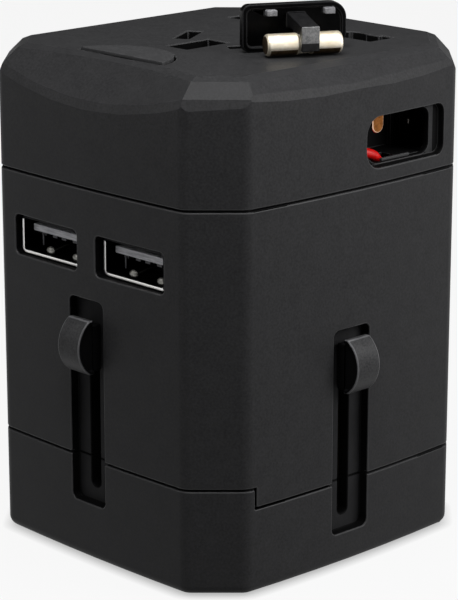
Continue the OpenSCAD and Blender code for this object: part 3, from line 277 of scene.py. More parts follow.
# Nickel-plated brass pins, drawn along Z: bright, with fine lines along them.
NICKEL = Finish("nickel_plated_brass_drawn", "#cbc7bd", "#b3aea3", 0.24, metallic=1.0, mottle=4.0,
                relief=0.003, stretch=(1.0, 1.0, 0.06))
# Spring contacts stamped from brass sheet, yellow and clouded.
BRASS = Finish("brass_sheet_rolled", "#d9b36a", "#a87d3c", 0.3, 0.08, metallic=1.0, mottle=2.0,
               relief=0.004, stretch=(1.0, 1.0, 0.15))
# Copper fuse contact, tarnished brown.
COPPER = Finish("copper_strip_tarnished", "#96602f", "#553014", 0.4, 0.1, metallic=1.0, mottle=0.7)
# Its rim, pale bright copper.
COPPER_RIM = Finish("copper_strip_pale_rim", "#f0cdb4", "#dba988", 0.22, metallic=1.0, mottle=0.8,
                    relief=0.003)
# Copper gone black with sulphide deep in the bay.
COPPER_DARK = Finish("copper_strip_sulphide_black", "#1c140e", "#0c0907", 0.5, 0.08, metallic=1.0,
                     mottle=1.0)
# Folded steel of the USB ports, nickel bright.
STEEL = Finish("steel_sheet_nickel_bright", "#fefdfb", "#eeede9", 0.32, metallic=1.0,
               relief=0.003, stretch=(1.0, 0.12, 1.0))
# Painted shade on their inner faces and along their top and right side, dull and dark.
STEEL_SHADE = Finish("steel_sheet_painted_shade", "#141415", "#0b0b0c", 0.5, metallic=1.0, mottle=2.0,
                     relief=0.003)
# Zinc-plated screws and spring, grey with a cloudy sheen.
ZINC = Finish("steel_screw_zinc_plated", "#b9bcc0", "#94979c", 0.34, 0.08, metallic=1.0, mottle=0.8,
              grain=0.2, relief=0.005)
# Spring leaves of the ports, grey and rubbed.
LEAF = Finish("steel_spring_rubbed", "#a9a8a2", "#4e4d4a", 0.4, 0.08, metallic=1.0, mottle=0.5,
              relief=0.006)
# Dull nickel on the contacts of the ports, darkened further as painted shade.
NICKEL_DULL = Finish("nickel_flash_dull_painted_shade", "#505052", "#303032", 0.5, 0.08, metallic=1.0,
                     mottle=1.0, relief=0.004)
# Tongues of the ports, off-white nylon with grey streaks along them.
TONGUE = Finish("nylon_tongue_offwhite", "#fbfbfe", "#b4b5bb", 0.5,
                stretch=(0.12, 1.0, 1.0), speckle=0.8)
# Red PVC insulation of the lead, with a soft shine.
LEAD = Finish("pvc_lead_red", "#e3120f", "#b40b0a", 0.34, grain=0.5, relief=0.006)
# Glazed ceramic tube of the fuse, cream and glossy.
CERAMIC = Finish("ceramic_tube_glazed", "#efe9da", "#dcd4c2", 0.22, grain=0.4, relief=0.004)
# Tinned brass caps of the fuse, satin and cream-white.
FUSE_CAP = Finish("brass_cap_tinned_satin", "#fff8ea", "#efe0c2", 0.5, 0.05, metallic=1.0, mottle=2.2,
                  grain=0.4, relief=0.003)
# Their ends in dark brown, and their undersides in the same brown as painted shade.
FUSE_CAP_END = Finish("brass_cap_end_and_painted_shade", "#7d684c", "#4c3b28", 0.36, 0.08, metallic=1.0, mottle=0.8,
                      grain=0.25, relief=0.008)
# Glass-fibre board under green solder mask, with a faint shine.
BOARD = Finish("glass_fibre_board_masked", "#1f5a32", "#174726", 0.32, mottle=1.6, grain=0.4)
# Ground ferrite of the transformer's core, dull dark grey.
FERRITE = Finish("ferrite_core_ground", "#3a3838", "#2a2929", 0.55, grain=0.25, relief=0.02)
# Yellow polyester tape wound round the coil, smooth, with fine level lines.
TAPE = Finish("polyester_tape_wound", "#d3a72c", "#b98d1f", 0.3, grain=0.6,
              stretch=(1.0, 1.0, 4.0))
# Shrink film on the aluminium cans, glossy dark blue.
CAN = Finish("shrink_film_blue", "#24375f", "#1b2a4b", 0.3, grain=0.8, relief=0.006)
# Moulded epoxy of the control chip, matt black.
RESIN = Finish("epoxy_moulded_black", "#151517", "#0e0e10", 0.5, grain=0.2, relief=0.015)


def only(obj: bpy.types.Object) -> None:
    """Makes an object the active one and the only one selected.

    Args:
        obj: The object.
    """
    if bpy.context.mode != "OBJECT":
        bpy.ops.object.mode_set(mode="OBJECT")
    bpy.ops.object.select_all(action="DESELECT")
    obj.select_set(True)
    bpy.context.view_layer.objects.active = obj


def box_of(node: str) -> tuple[Vector, Vector]:
    """Measures a CAD node.

    Args:
        node: Name of the CAD node.

    Returns:
        The lowest and the highest corner of its box, in millimetres.
    """
    corners = list(zip(*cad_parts[node].bound_box))
    return Vector(map(min, corners)) / MM, Vector(map(max, corners)) / MM


def carry_over(node: str) -> bpy.types.Object:
    """Copies a CAD node as a new piece, in millimetres, with its loose triangles merged.

    Args:
        node: Name of the CAD node.

    Returns:
        The new object, named after the node.
    """
    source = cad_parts[node]
    obj = source.copy()
    obj.data = source.data.copy()
    obj.name = obj.data.name = f"{node}_dressed"
    obj.parent = None
    for key in list(obj.keys()):
        del obj[key]
    bpy.context.scene.collection.objects.link(obj)
    obj.data.materials.clear()
    obj.data.transform(Matrix.Scale(1 / MM, 4))
    only(obj)
    bpy.ops.object.mode_set(mode="EDIT")
    bpy.ops.mesh.select_all(action="SELECT")
    bpy.ops.mesh.customdata_custom_splitnormals_clear()
    bpy.ops.mesh.remove_doubles(threshold=MERGE_GAP)
    bpy.ops.mesh.dissolve_limited(angle_limit=math.radians(FLAT_TURN))
    bpy.ops.object.mode_set(mode="OBJECT")
    return obj


def block(name: str, middle: Vector, size: Vector, tilt: float = 0.0) -> bpy.types.Object:
    """Adds a block, in millimetres, as the start of a piece.

    Args:
        name: Name of the piece.
        middle: Middle of the block.
        size: Its width, depth and height.
        tilt: Turn about X in degrees.

    Returns:
        The new object.
    """
    bpy.ops.object.select_all(action="DESELECT")
    bpy.ops.mesh.primitive_cube_add(size=1)
    obj = bpy.context.object
    obj.name = obj.data.name = name
    turn = Matrix.Rotation(math.radians(tilt), 4, "X")
    obj.data.transform(Matrix.Translation(middle) @ turn @ Matrix.Diagonal((*size, 1.0)))
    return obj


def join(name: str, *pieces: bpy.types.Object) -> bpy.types.Object:
    """Joins pieces into the first of them.

    Args:
        name: Name that the joined piece gets.
        pieces: The pieces, in millimetres.

    Returns:
        The joined piece.
    """
    only(pieces[0])
    for piece in pieces[1:]:
        piece.select_set(True)
    bpy.ops.object.join()
    pieces[0].name = pieces[0].data.name = name
    return pieces[0]


def middle_of(edge: bmesh.types.BMEdge) -> Vector:
    """Middle of an edge."""
    return (edge.verts[0].co + edge.verts[1].co) / 2


def select(obj: bpy.types.Object, element: Element, test: Test) -> int:
    """Selects faces or edges of the object in edit mode, by their place and direction.

    Args:
        obj: The object, which is put in edit mode.
        element: What is selected.
        test: Takes the middle and the normal (an edge's direction) and says yes or no.

    Returns:
        How many were selected.
    """
    only(obj)
    bpy.ops.object.mode_set(mode="EDIT")
    bpy.ops.mesh.select_mode(type=element.value)
    bpy.ops.mesh.select_all(action="DESELECT")
    mesh = bmesh.from_edit_mesh(obj.data)
    if element is Element.FACE:
        chosen = [face for face in mesh.faces if test(face.calc_center_median(), face.normal)]
    else:
        chosen = [edge for edge in mesh.edges
                  if test(middle_of(edge), (edge.verts[1].co - edge.verts[0].co).normalized())]
    for item in chosen:
        item.select_set(True)
    mesh.select_flush_mode()
    bmesh.update_edit_mesh(obj.data)
    return len(chosen)


def apply_modifier(obj: bpy.types.Object, kind: str, **settings: Any) -> None:
    """Adds a modifier and applies it.

    Args:
        obj: The piece.
        kind: The modifier's type name.
        settings: Properties of the modifier.
    """
    only(obj)
    modifier = obj.modifiers.new(kind.lower(), kind)
    for name, value in settings.items():
        setattr(modifier, name, value)
    bpy.ops.object.modifier_apply(modifier=modifier.name)


def soften(obj: bpy.types.Object, width: float, segments: int = 3, from_turn: float = SHARP_TURN) -> None:
    """Rounds the sharp edges, with the new faces in the second finish.

    Args:
        obj: The piece.
        width: Width of the rounding.
        segments: Faces across the rounding.
        from_turn: Edges that turn more than this many degrees are rounded.
    """
    apply_modifier(obj, "BEVEL", width=width, segments=segments, limit_method="ANGLE",
                   angle_limit=math.radians(from_turn), **ROUNDING)


def weigh_edges(obj: bpy.types.Object, rule: Callable[[bmesh.types.BMEdge], float]) -> None:
    """Writes a bevel weight on each edge.

    Args:
        obj: The piece.
        rule: Gives an edge its weight, from 0 to 1.
    """
    mesh = bmesh.new()
    mesh.from_mesh(obj.data)
    layer = mesh.edges.layers.float.new("bevel_weight_edge")
    mesh.normal_update()
    for edge in mesh.edges:
        edge[layer] = rule(edge)
    mesh.to_mesh(obj.data)
    mesh.free()


def polish(obj: bpy.types.Object, gentle_turn: float = 40.0) -> None:
    """Smooths the shading of gentle turns and keeps flat faces flat.

    Args:
        obj: The piece.
        gentle_turn: Turns of more degrees stay sharp.
    """
    only(obj)
    bpy.ops.object.shade_smooth_by_angle(angle=math.radians(gentle_turn))
    apply_modifier(obj, "WEIGHTED_NORMAL", mode="FACE_AREA", keep_sharp=True)


def paint(obj: bpy.types.Object, *finishes: Finish) -> None:
    """Gives the object its finishes, one slot each.

    Args:
        obj: The object.
        finishes: The finishes in order; faces start in the first.
    """
    obj.data.materials.clear()
    for finish in finishes:
        obj.data.materials.append(finish.material())


def repaint(obj: bpy.types.Object, finish: Finish, test: Test) -> None:
    """Puts some faces in another of the object's finishes.

    Args:
        obj: The piece, which has the finish already.
        finish: The finish that the faces take.
        test: Takes a face's middle and normal and says yes or no.
    """
    index = obj.data.materials.find(finish.name)
    for face in obj.data.polygons:
        if test(face.center, face.normal):
            face.material_index = index


def settle(obj: bpy.types.Object, body: Body, slot: Slot, *nodes: str) -> None:
    """Turns a finished piece to metres and hands it to the frame.

    Args:
        obj: The piece, in millimetres.
        body: The body that it moves with.
        slot: Not used.
        nodes: CAD nodes that it stands for.
    """
    if bpy.context.mode != "OBJECT":
        bpy.ops.object.mode_set(mode="OBJECT")
    obj.data.transform(Matrix.Scale(MM, 4))
    obj.data.update()
    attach(obj, body.value)
    if nodes:
        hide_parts(*nodes)
    LOG.info("piece %s on %s, %d faces", obj.name, body.value, len(obj.data.polygons))


def softened(node: str, body: Body, slot: Slot, width: float, *finishes: Finish,
             segments: int = 2) -> None:
    """Copies a CAD node, paints it, rounds its edges and hands it over.

    Args:
        node: Name of the CAD node that the copy stands for.
        body: The body that it moves with.
        slot: The record's material slot.
        width: Width of the rounded edges.
        finishes: Finish of the faces, and of the rounded edges where it differs.
        segments: Faces across the rounding.
    """
    obj = carry_over(node)
    paint(obj, finishes[0], finishes[-1])
    soften(obj, width, segments)
    polish(obj)
    settle(obj, body, slot, node)


@dataclass
class Casing:
    """Socket head, middle shell and bottom cap, with the screws in the base."""

    edge: float = 0.2
    edge_segments: int = 5
    foot_edge: float = 1.5
    foot_segments: int = 6
    foot_margin: float = 1.0
    screw_edge: float = 0.12
    gentle_turn: float = 20.0
    # Parts of a normal: bottoms of cuts, floors of pockets, and the top's eased shoulders.
    flat: float = 0.97
    pocket_flat: float = 0.9995
    eased: float = 0.2
    # Depths below the outer faces, and reach to each side of a face's middle.
    skin: float = 0.02
    wall: float = 4.0
    cut_depth: float = 3.4
    cut_reach: float = 20.0
    deep_from: float = 0.6
    deep_reach: tuple[float, float] = (18.8, 17.5)
    pocket_half: float = 8.0
    pocket_top: float = 45.0
    pocket_depth: tuple[float, float] = (0.8, 2.0)
    # Heights: where the holes in the top begin, and where the holes in the base end.
    top_holes: float = 66.5
    top_margin: float = 1.0
    base_holes: float = 1.0
    # Ledge round the fuse slot's inner opening: its face, its heights, and the strip along Y left lit
    # while the rest takes painted shade.
    ledge_x: float = 25.4
    ledge_skin: float = 0.1
    ledge_z: tuple[float, float] = (58.0, 68.0)
    ledge_lit_strip: tuple[float, float] = (15.7, 17.2)
    slots: dict[str, Slot] = field(default_factory=lambda: {
        "socket_head": Slot.HEAD, "middle_shell": Slot.SHELL, "bottom_cap": Slot.CAP})
    half: Vector = field(init=False)
    corner_reach: float = field(init=False)

    def __post_init__(self) -> None:
        """Takes the casing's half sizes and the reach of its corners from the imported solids."""
        self.half = box_of("middle_shell")[1]
        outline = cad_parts["bottom_cap"].data.vertices
        self.corner_reach = max(self.toward_corner(point.co / MM) for point in outline)

    def build(self) -> None:
        """Copies the three mouldings and the screws."""
        for node, slot in self.slots.items():
            self.moulding(node, slot)
        softened("case_screws", Body.CASING, Slot.STEEL, self.screw_edge, ZINC)

    def moulding(self, node: str, slot: Slot) -> None:
        """Copies a moulding with a rounded foot, edges in a painted highlight, and cuts and pocket floors
        in painted shade.

        Args:
            node: Name of the CAD node.
            slot: The record's material slot.
        """
        obj = carry_over(node)
        paint(obj, SHELL, SHELL_EDGE, SHELL_CUT, SHELL_FLOOR)
        # Splits the ledge at both sides of its lit strip.
        for cut in self.ledge_lit_strip:
            if select(obj, Element.FACE, self.on_ledge):
                bpy.ops.mesh.bisect(plane_co=(self.ledge_x, cut, 0), plane_no=(0, 1, 0))
        if select(obj, Element.EDGE, self.on_foot):
            bpy.ops.mesh.bevel(offset=self.foot_edge, segments=self.foot_segments)
        bpy.ops.object.mode_set(mode="OBJECT")
        # Painted shade: the walls of pockets, slots, openings and holes go almost black.
        repaint(obj, SHELL_CUT, self.in_cut)
        # Painted shade: the floors of the pockets a little darker.
        repaint(obj, SHELL_FLOOR, self.on_floor)
        weigh_edges(obj, self.weight)
        # The roundings take the second finish, the edges' painted highlight.
        apply_modifier(obj, "BEVEL", width=self.edge, segments=self.edge_segments, limit_method="WEIGHT",
                       **ROUNDING)
        # Painted shade on the roundings deep in pockets, slots and openings.
        repaint(obj, SHELL_CUT, self.in_deep_edge)
        polish(obj, self.gentle_turn)
        settle(obj, Body.CASING, slot, node)

    @staticmethod
    def toward_corner(point: Vector) -> float:
        """How far a point lies out towards the nearest corner of the casing."""
        return (abs(point.x) + abs(point.y)) / math.sqrt(2)

    def within_walls(self, middle: Vector) -> bool:
        """Says whether a place is further in than the casing's walls."""
        return all(abs(middle[along]) < self.half[along] - self.wall for along in (0, 1))

    def on_foot(self, middle: Vector, direction: Vector) -> bool:
        """Says whether an edge is one of the outline that the casing stands on.

        Args:
            middle: Middle of the edge.
            direction: Direction of the edge.

        Returns:
            True for an edge of the foot.
        """
        if middle.z > self.skin or abs(direction.z) > self.skin:
            return False
        return (any(abs(middle[along]) > self.half[along] - self.foot_margin for along in (0, 1))
                or self.toward_corner(middle) > self.corner_reach - self.foot_margin)

    def on_ledge(self, middle: Vector, normal: Vector) -> bool:
        """Says whether a face is the ledge round the fuse slot's inner opening.

        Args:
            middle: Middle of the face.
            normal: Normal of the face.

        Returns:
            True for the ledge.
        """
        low, high = self.ledge_z
        beside = abs(middle.x - self.ledge_x) < self.ledge_skin
        return normal.x > FACING and beside and low < middle.z < high

    def in_cut(self, middle: Vector, normal: Vector) -> bool:
        """Says whether a face is a wall of a pocket, slot, opening or hole, which takes painted shade.

        Args:
            middle: Middle of the face.
            normal: Normal of the face.

        Returns:
            True for a wall of a cut.
        """
        if middle.z < self.foot_edge:
            return False
        for along in (0, 1):
            depth, aside = self.half[along] - abs(middle[along]), abs(middle[1 - along])
            cut = self.skin < depth < self.cut_depth and aside < self.cut_reach
            if cut and abs(normal[along]) < ACROSS:
                return True
        # Painted shade on the ledge, all but its lit strip.
        if self.on_ledge(middle, normal):
            return not self.ledge_lit_strip[0] < middle.y < self.ledge_lit_strip[1]
        return self.within_walls(middle) and middle.z > self.top_holes and abs(normal.z) < ACROSS

    def in_pocket(self, middle: Vector, along: int) -> bool:
        """Says whether a place lies where a wall has its slider's pocket."""
        return abs(middle[1 - along]) < self.pocket_half and middle.z < self.pocket_top

    def on_floor(self, middle: Vector, normal: Vector) -> bool:
        """Says whether a face is the floor of a slider's pocket.

        Args:
            middle: Middle of the face.
            normal: Normal of the face.

        Returns:
            True for a floor.
        """
        low, high = self.pocket_depth
        return any(self.in_pocket(middle, along) and abs(normal[along]) > FACING
                   and low < self.half[along] - abs(middle[along]) < high for along in (0, 1))

    def in_deep_edge(self, middle: Vector, normal: Vector) -> bool:
        """Says whether a face belongs to an edge at the bottom of a pocket, slot or opening, which takes
        painted shade.

        Args:
            middle: Middle of the face.
            normal: Normal of the face, which leans where the face isn't part of a flat bottom.

        Returns:
            True for a face of such an edge.
        """
        if not self.foot_edge < middle.z < self.top_holes + self.top_margin:
            return False
        for along, reach in enumerate(self.deep_reach):
            depth, aside = self.half[along] - abs(middle[along]), abs(middle[1 - along])
            flat = self.pocket_flat if self.in_pocket(middle, along) else self.flat
            if self.deep_from < depth < self.cut_depth and abs(normal[along]) < flat and aside < reach:
                return True
        return False

    def weight(self, edge: bmesh.types.BMEdge) -> float:
        """Bevel weight of an edge: 1 where it is sharp, except inside and on the eased shoulders.

        Args:
            edge: The edge.

        Returns:
            The weight.
        """
        if len(edge.link_faces) != 2:
            return 0.0
        middle = middle_of(edge)
        slopes = [face.normal.z for face in edge.link_faces]
        if middle.z > self.top_holes and any(self.eased < slope < self.flat for slope in slopes):
            return 0.0
        if self.within_walls(middle) and self.base_holes < middle.z < self.top_holes:
            return 0.0
        return 1.0 if math.degrees(edge.calc_face_angle(0.0)) > SHARP_TURN else 0.0


@dataclass(frozen=True)
class Knob:
    """A thumb knob: its CAD node, its body, and the axis and the sign of the side that it stands on."""

    node: str
    body: Body
    along: int
    sign: int


@dataclass
class Knobs:
    """Three thumb knobs with arched fronts, rims pale as a painted highlight, and sunk cheeks in painted
    shade.
    """

    edge: float = 0.2
    edge_segments: int = 4
    arch: float = 4.9
    rim: float = 0.3
    knobs: tuple[Knob, ...] = (
        Knob("us_knob", Body.US_SLIDER, 1, -1),
        Knob("eu_knob", Body.EU_SLIDER, 0, 1),
        Knob("uk_knob", Body.UK_SLIDER, 1, 1))

    def build(self) -> None:
        """Copies the three knobs."""
        for knob in self.knobs:
            self.dress(knob)

    def dress(self, knob: Knob) -> None:
        """Copies a knob, rounds it and paints all but its front and its rim in painted shade.

        Args:
            knob: The knob.
        """
        obj = carry_over(knob.node)
        paint(obj, KNOB, KNOB_RIM, KNOB_SIDE)
        # The roundings take the second finish, the rims' painted highlight.
        soften(obj, self.edge, self.edge_segments)
        low, high = box_of(knob.node)
        front = max(knob.sign * low[knob.along], knob.sign * high[knob.along])
        out, up = front - self.arch, (low.z + high.z) / 2
        # Painted shade on all that lies inside the arch but its rim.
        repaint(obj, KNOB_SIDE, lambda middle, normal: math.hypot(
            knob.sign * middle[knob.along] - out, middle.z - up) < self.arch - self.rim)
        polish(obj)
        settle(obj, knob.body, Slot.KNOB, knob.node)


@dataclass
class ReleaseButton:
    """Half-moon button in the top face."""

    edge: float = 0.12
    edge_segments: int = 3

    def build(self) -> None:
        """Copies the button with a rounded rim."""
        softened("release_button", Body.BUTTON, Slot.BUTTON, self.edge, BUTTON,
                 segments=self.edge_segments)


@dataclass
class FuseDrawer:
    """Fuse drawer that stands on the top face, with its clip and fuse.

    Places on the drawer are in its own frame: X along its plate, Y away from the fuse, Z up.
    """

    place: tuple[float, float, float] = (13.7, 0.1, 75.05)
    turn: float = 63.0
    edge: float = 0.16
    arm_middle: float = 0.3
    arm_half: float = 1.45
    arm_start: float = -0.9
    arm_low: float = 0.8
    clip_front: float = -6.2
    clip_highlight_split: float = 2.05
    catches: tuple[float, float] = (-3.7, 5.1)
    catch_half: float = 0.9
    catch_depth: tuple[float, float] = (-1.0, -0.05)
    catch_low: float = 4.9
    tube_edge: float = 0.1
    fuse_length: float = 11.4
    cap_length: float = 5.0
    cap_sides: int = 48
    cap_bevel: float = 0.5
    cap_segments: int = 4
    cap_corner: float = 60.0
    cap_turn: float = 30.0
    # Parts of a normal: the round side of a cap, and how far down a face looks to take painted shade.
    cap_side: float = 0.1
    cap_shade_below: float = -0.36
    stand: Matrix = field(init=False)

    def __post_init__(self) -> None:
        """Works out where the drawer stands."""
        self.stand = Matrix.Translation(self.place) @ Matrix.Rotation(math.radians(self.turn), 4, "Z")

    def build(self) -> None:
        """Builds the drawer, the fuse's tube and its two caps."""
        self.drawer()
        softened("fuse_body", Body.DRAWER, Slot.CERAMIC, self.tube_edge, CERAMIC)
        caps = join("fuse_caps_dressed", *[self.cap(end) for end in (-1, 1)])
        settle(caps, Body.DRAWER, Slot.FUSE_CAP, "fuse_caps")

    def drawer(self) -> None:
        """Copies the drawer, with rubbed catches and a clip whose upper front is pale as a painted
        highlight.
        """
        obj = carry_over("fuse_drawer")
        paint(obj, DRAWER, DRAWER_RIM, CLIP, CATCH)
        # The roundings take the second finish, the edges' painted highlight.
        soften(obj, self.edge)
        # Splits the clip's front where its painted highlight ends.
        select(obj, Element.FACE, self.on_clip)
        bpy.ops.mesh.bisect(plane_co=self.stand @ Vector((0, 0, self.clip_highlight_split)), plane_no=(0, 0, 1))
        bpy.ops.object.mode_set(mode="OBJECT")
        repaint(obj, DRAWER_RIM, self.on_arm)
        # Painted highlight: only the upper front of the clip takes the pale grey.
        repaint(obj, CLIP, lambda middle, normal: self.on_clip(middle, normal)
                and self.spot(middle).z > self.clip_highlight_split)
        repaint(obj, CATCH, self.on_catch)
        polish(obj)
        settle(obj, Body.DRAWER, Slot.DRAWER, "fuse_drawer")

    def spot(self, middle: Vector) -> Vector:
        """A place in the drawer's own frame."""
        return self.stand.inverted() @ middle

    def on_arm(self, middle: Vector, _normal: Vector) -> bool:
        """Says whether a face belongs to the arm or the clip.

        Args:
            middle: Middle of the face.
            _normal: Not needed.

        Returns:
            True for the arm and the clip.
        """
        spot = self.spot(middle)
        return (abs(spot.x - self.arm_middle) < self.arm_half
                and spot.y < self.arm_start and spot.z > self.arm_low)

    def on_clip(self, middle: Vector, normal: Vector) -> bool:
        """Says whether a face belongs to the front of the clip."""
        return self.on_arm(middle, normal) and self.spot(middle).y < self.clip_front

    def on_catch(self, middle: Vector, _normal: Vector) -> bool:
        """Says whether a face belongs to one of the two catches.

        Args:
            middle: Middle of the face.
            _normal: Not needed.

        Returns:
            True for a catch.
        """
        spot = self.spot(middle)
        low, high = self.catch_depth
        return (low < spot.y < high and spot.z > self.catch_low
                and any(abs(spot.x - x) < self.catch_half for x in self.catches))

    def cap(self, end: int) -> bpy.types.Object:
        """Models one metal cap of the fuse: a bevelled drum, brown at its ends and in painted shade
        underneath.

        Args:
            end: -1 or 1, the end of the fuse.

        Returns:
            The cap in millimetres, placed on the fuse.
        """
        low, high = box_of("fuse_caps")
        bpy.ops.object.select_all(action="DESELECT")
        bpy.ops.mesh.primitive_cylinder_add(
            vertices=self.cap_sides, radius=(high.z - low.z) / 2, depth=self.cap_length)
        obj = bpy.context.object
        paint(obj, FUSE_CAP, FUSE_CAP_END)
        apply_modifier(obj, "BEVEL", width=self.cap_bevel, segments=self.cap_segments,
                       limit_method="ANGLE", angle_limit=math.radians(self.cap_corner))
        axis = self.stand.to_3x3() @ Vector((1, 0, 0))
        spot = (low + high) / 2 + axis * end * (self.fuse_length - self.cap_length) / 2
        lie = self.stand.to_3x3().to_4x4() @ Matrix.Rotation(math.radians(90 * end), 4, "Y")
        obj.data.transform(Matrix.Translation(spot) @ lie)
        obj.data.update()
        # The ends take the dark brown, and the faces that look down take painted shade.
        repaint(obj, FUSE_CAP_END, lambda middle, normal: abs(normal.dot(axis)) > FACING
                or (abs(normal.dot(axis)) < self.cap_side and normal.z < self.cap_shade_below))
        polish(obj, self.cap_turn)
        return obj


@dataclass
class UsbPort:
    """One USB port: folded steel shell, spring leaves, first contact and tongue.

    The leaves and the contact are placed from the middle of the port's mouth.
    """

    side: str
    sheet: float = 0.45
    sheet_edge: float = 0.07
    sheet_segments: int = 2
    sheet_turn: float = 60.0
    # Part of a normal along Y: a face with more is on the rim of the sheet.
    rim_facing: float = 0.5
    corner: float = 0.75
    corner_segments: int = 5
    # Depths of the shell's top and right side that take painted shade.
    dark_top: float = 0.6
    dark_right: float = 0.5
    leaf_size: tuple[float, float, float] = (1.8, 1.0, 1.3)
    leaf_shifts: tuple[float, float] = (-1.1, 4.8)
    leaf_in: float = 1.0
    leaf_rise: float = 0.52
    leaf_sides: int = 32
    leaf_rings: int = 16
    arm_size: tuple[float, float, float] = (0.45, 3.2, 0.16)
    arm_shift: tuple[float, float, float] = (0.35, 1.6, 0.25)
    arm_tilt: float = 8.0
    contact_size: tuple[float, float, float] = (0.32, 0.14, 1.7)
    contact_shift: tuple[float, float, float] = (-3.5, 1.55, -0.75)
    wire_edge: float = 0.06
    arm_segments: int = 2
    contact_segments: int = 3
    tongue_edge: float = 0.12
    low: Vector = field(init=False)
    high: Vector = field(init=False)
    mouth: Vector = field(init=False)

    def __post_init__(self) -> None:
        """Takes the shell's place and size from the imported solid."""
        self.low, self.high = box_of(f"usb_shell_{self.side}")
        self.mouth = (self.low + self.high) / 2
        self.mouth.y = self.low.y

    def build(self) -> None:
        """Builds the pieces of the port."""
        self.shell()
        self.leaves()
        self.first_contact()
        softened(f"usb_tongue_{self.side}", Body.CASING, Slot.TONGUE, self.tongue_edge, TONGUE)

    def shell(self) -> None:
        """Folds the steel shell: a block with rounded edges, open at both ends, given its sheet."""
        obj = block(f"usb_shell_{self.side}_dressed", (self.low + self.high) / 2, self.high - self.low)
        select(obj, Element.EDGE, lambda middle, direction: abs(direction.y) > FACING)
        bpy.ops.mesh.bevel(offset=self.corner, segments=self.corner_segments)
        select(obj, Element.FACE, lambda middle, normal: abs(normal.y) > FACING)
        bpy.ops.mesh.delete(type="ONLY_FACE")
        bpy.ops.object.mode_set(mode="OBJECT")
        apply_modifier(obj, "SOLIDIFY", thickness=self.sheet, offset=-1.0)
        paint(obj, STEEL, STEEL, STEEL_SHADE)
        soften(obj, self.sheet_edge, self.sheet_segments, self.sheet_turn)
        # Painted shade inside the shell and along its top and right side.
        repaint(obj, STEEL_SHADE, self.in_shade)
        polish(obj)
        settle(obj, Body.CASING, Slot.STEEL, f"usb_shell_{self.side}")

    def in_shade(self, middle: Vector, normal: Vector) -> bool:
        """Says whether a face of the shell takes painted shade: it faces inwards, or lies in its top or
        right side.

        Args:
            middle: Middle of the face.
            normal: Normal of the face.

        Returns:
            True for a dark face.
        """
        if middle.z > self.high.z - self.dark_top or middle.x > self.high.x - self.dark_right:
            return True
        inward = Vector((self.mouth.x - middle.x, 0, self.mouth.z - middle.z))
        return abs(normal.y) < self.rim_facing and normal.dot(inward) > 0

    def leaves(self) -> None:
        """Models the two spring leaves in the shell's floor: a domed tip on a thin arm."""
        pieces = []
        floor = self.low.z + self.sheet
        for shift in self.leaf_shifts:
            spot = Vector((self.mouth.x + shift, self.mouth.y + self.leaf_in, floor + self.leaf_rise))
            bpy.ops.object.select_all(action="DESELECT")
            bpy.ops.mesh.primitive_uv_sphere_add(
                segments=self.leaf_sides, ring_count=self.leaf_rings, radius=0.5)
            tip = bpy.context.object
            tip.data.transform(Matrix.Translation(spot) @ Matrix.Diagonal((*self.leaf_size, 1.0)))
            arm_spot = spot + Vector(self.arm_shift)
            arm = block("usb_leaf_arm", arm_spot, Vector(self.arm_size), self.arm_tilt)
            apply_modifier(arm, "BEVEL", width=self.wire_edge, segments=self.arm_segments)
            pieces += [tip, arm]
        obj = join(f"usb_leaves_{self.side}", *pieces)
        paint(obj, LEAF)
        polish(obj)
        settle(obj, Body.CASING, Slot.CONTACT_BRASS)

    def first_contact(self) -> None:
        """Models the bent end of the first contact, which hangs below the tongue."""
        spot = self.mouth + Vector(self.contact_shift)
        obj = block(f"usb_first_contact_{self.side}", spot, Vector(self.contact_size))
        # Painted shade: the contact in darkened nickel.
        paint(obj, NICKEL_DULL)
        apply_modifier(obj, "BEVEL", width=self.wire_edge, segments=self.contact_segments)
        polish(obj)
        settle(obj, Body.CASING, Slot.CONTACT_BRASS)


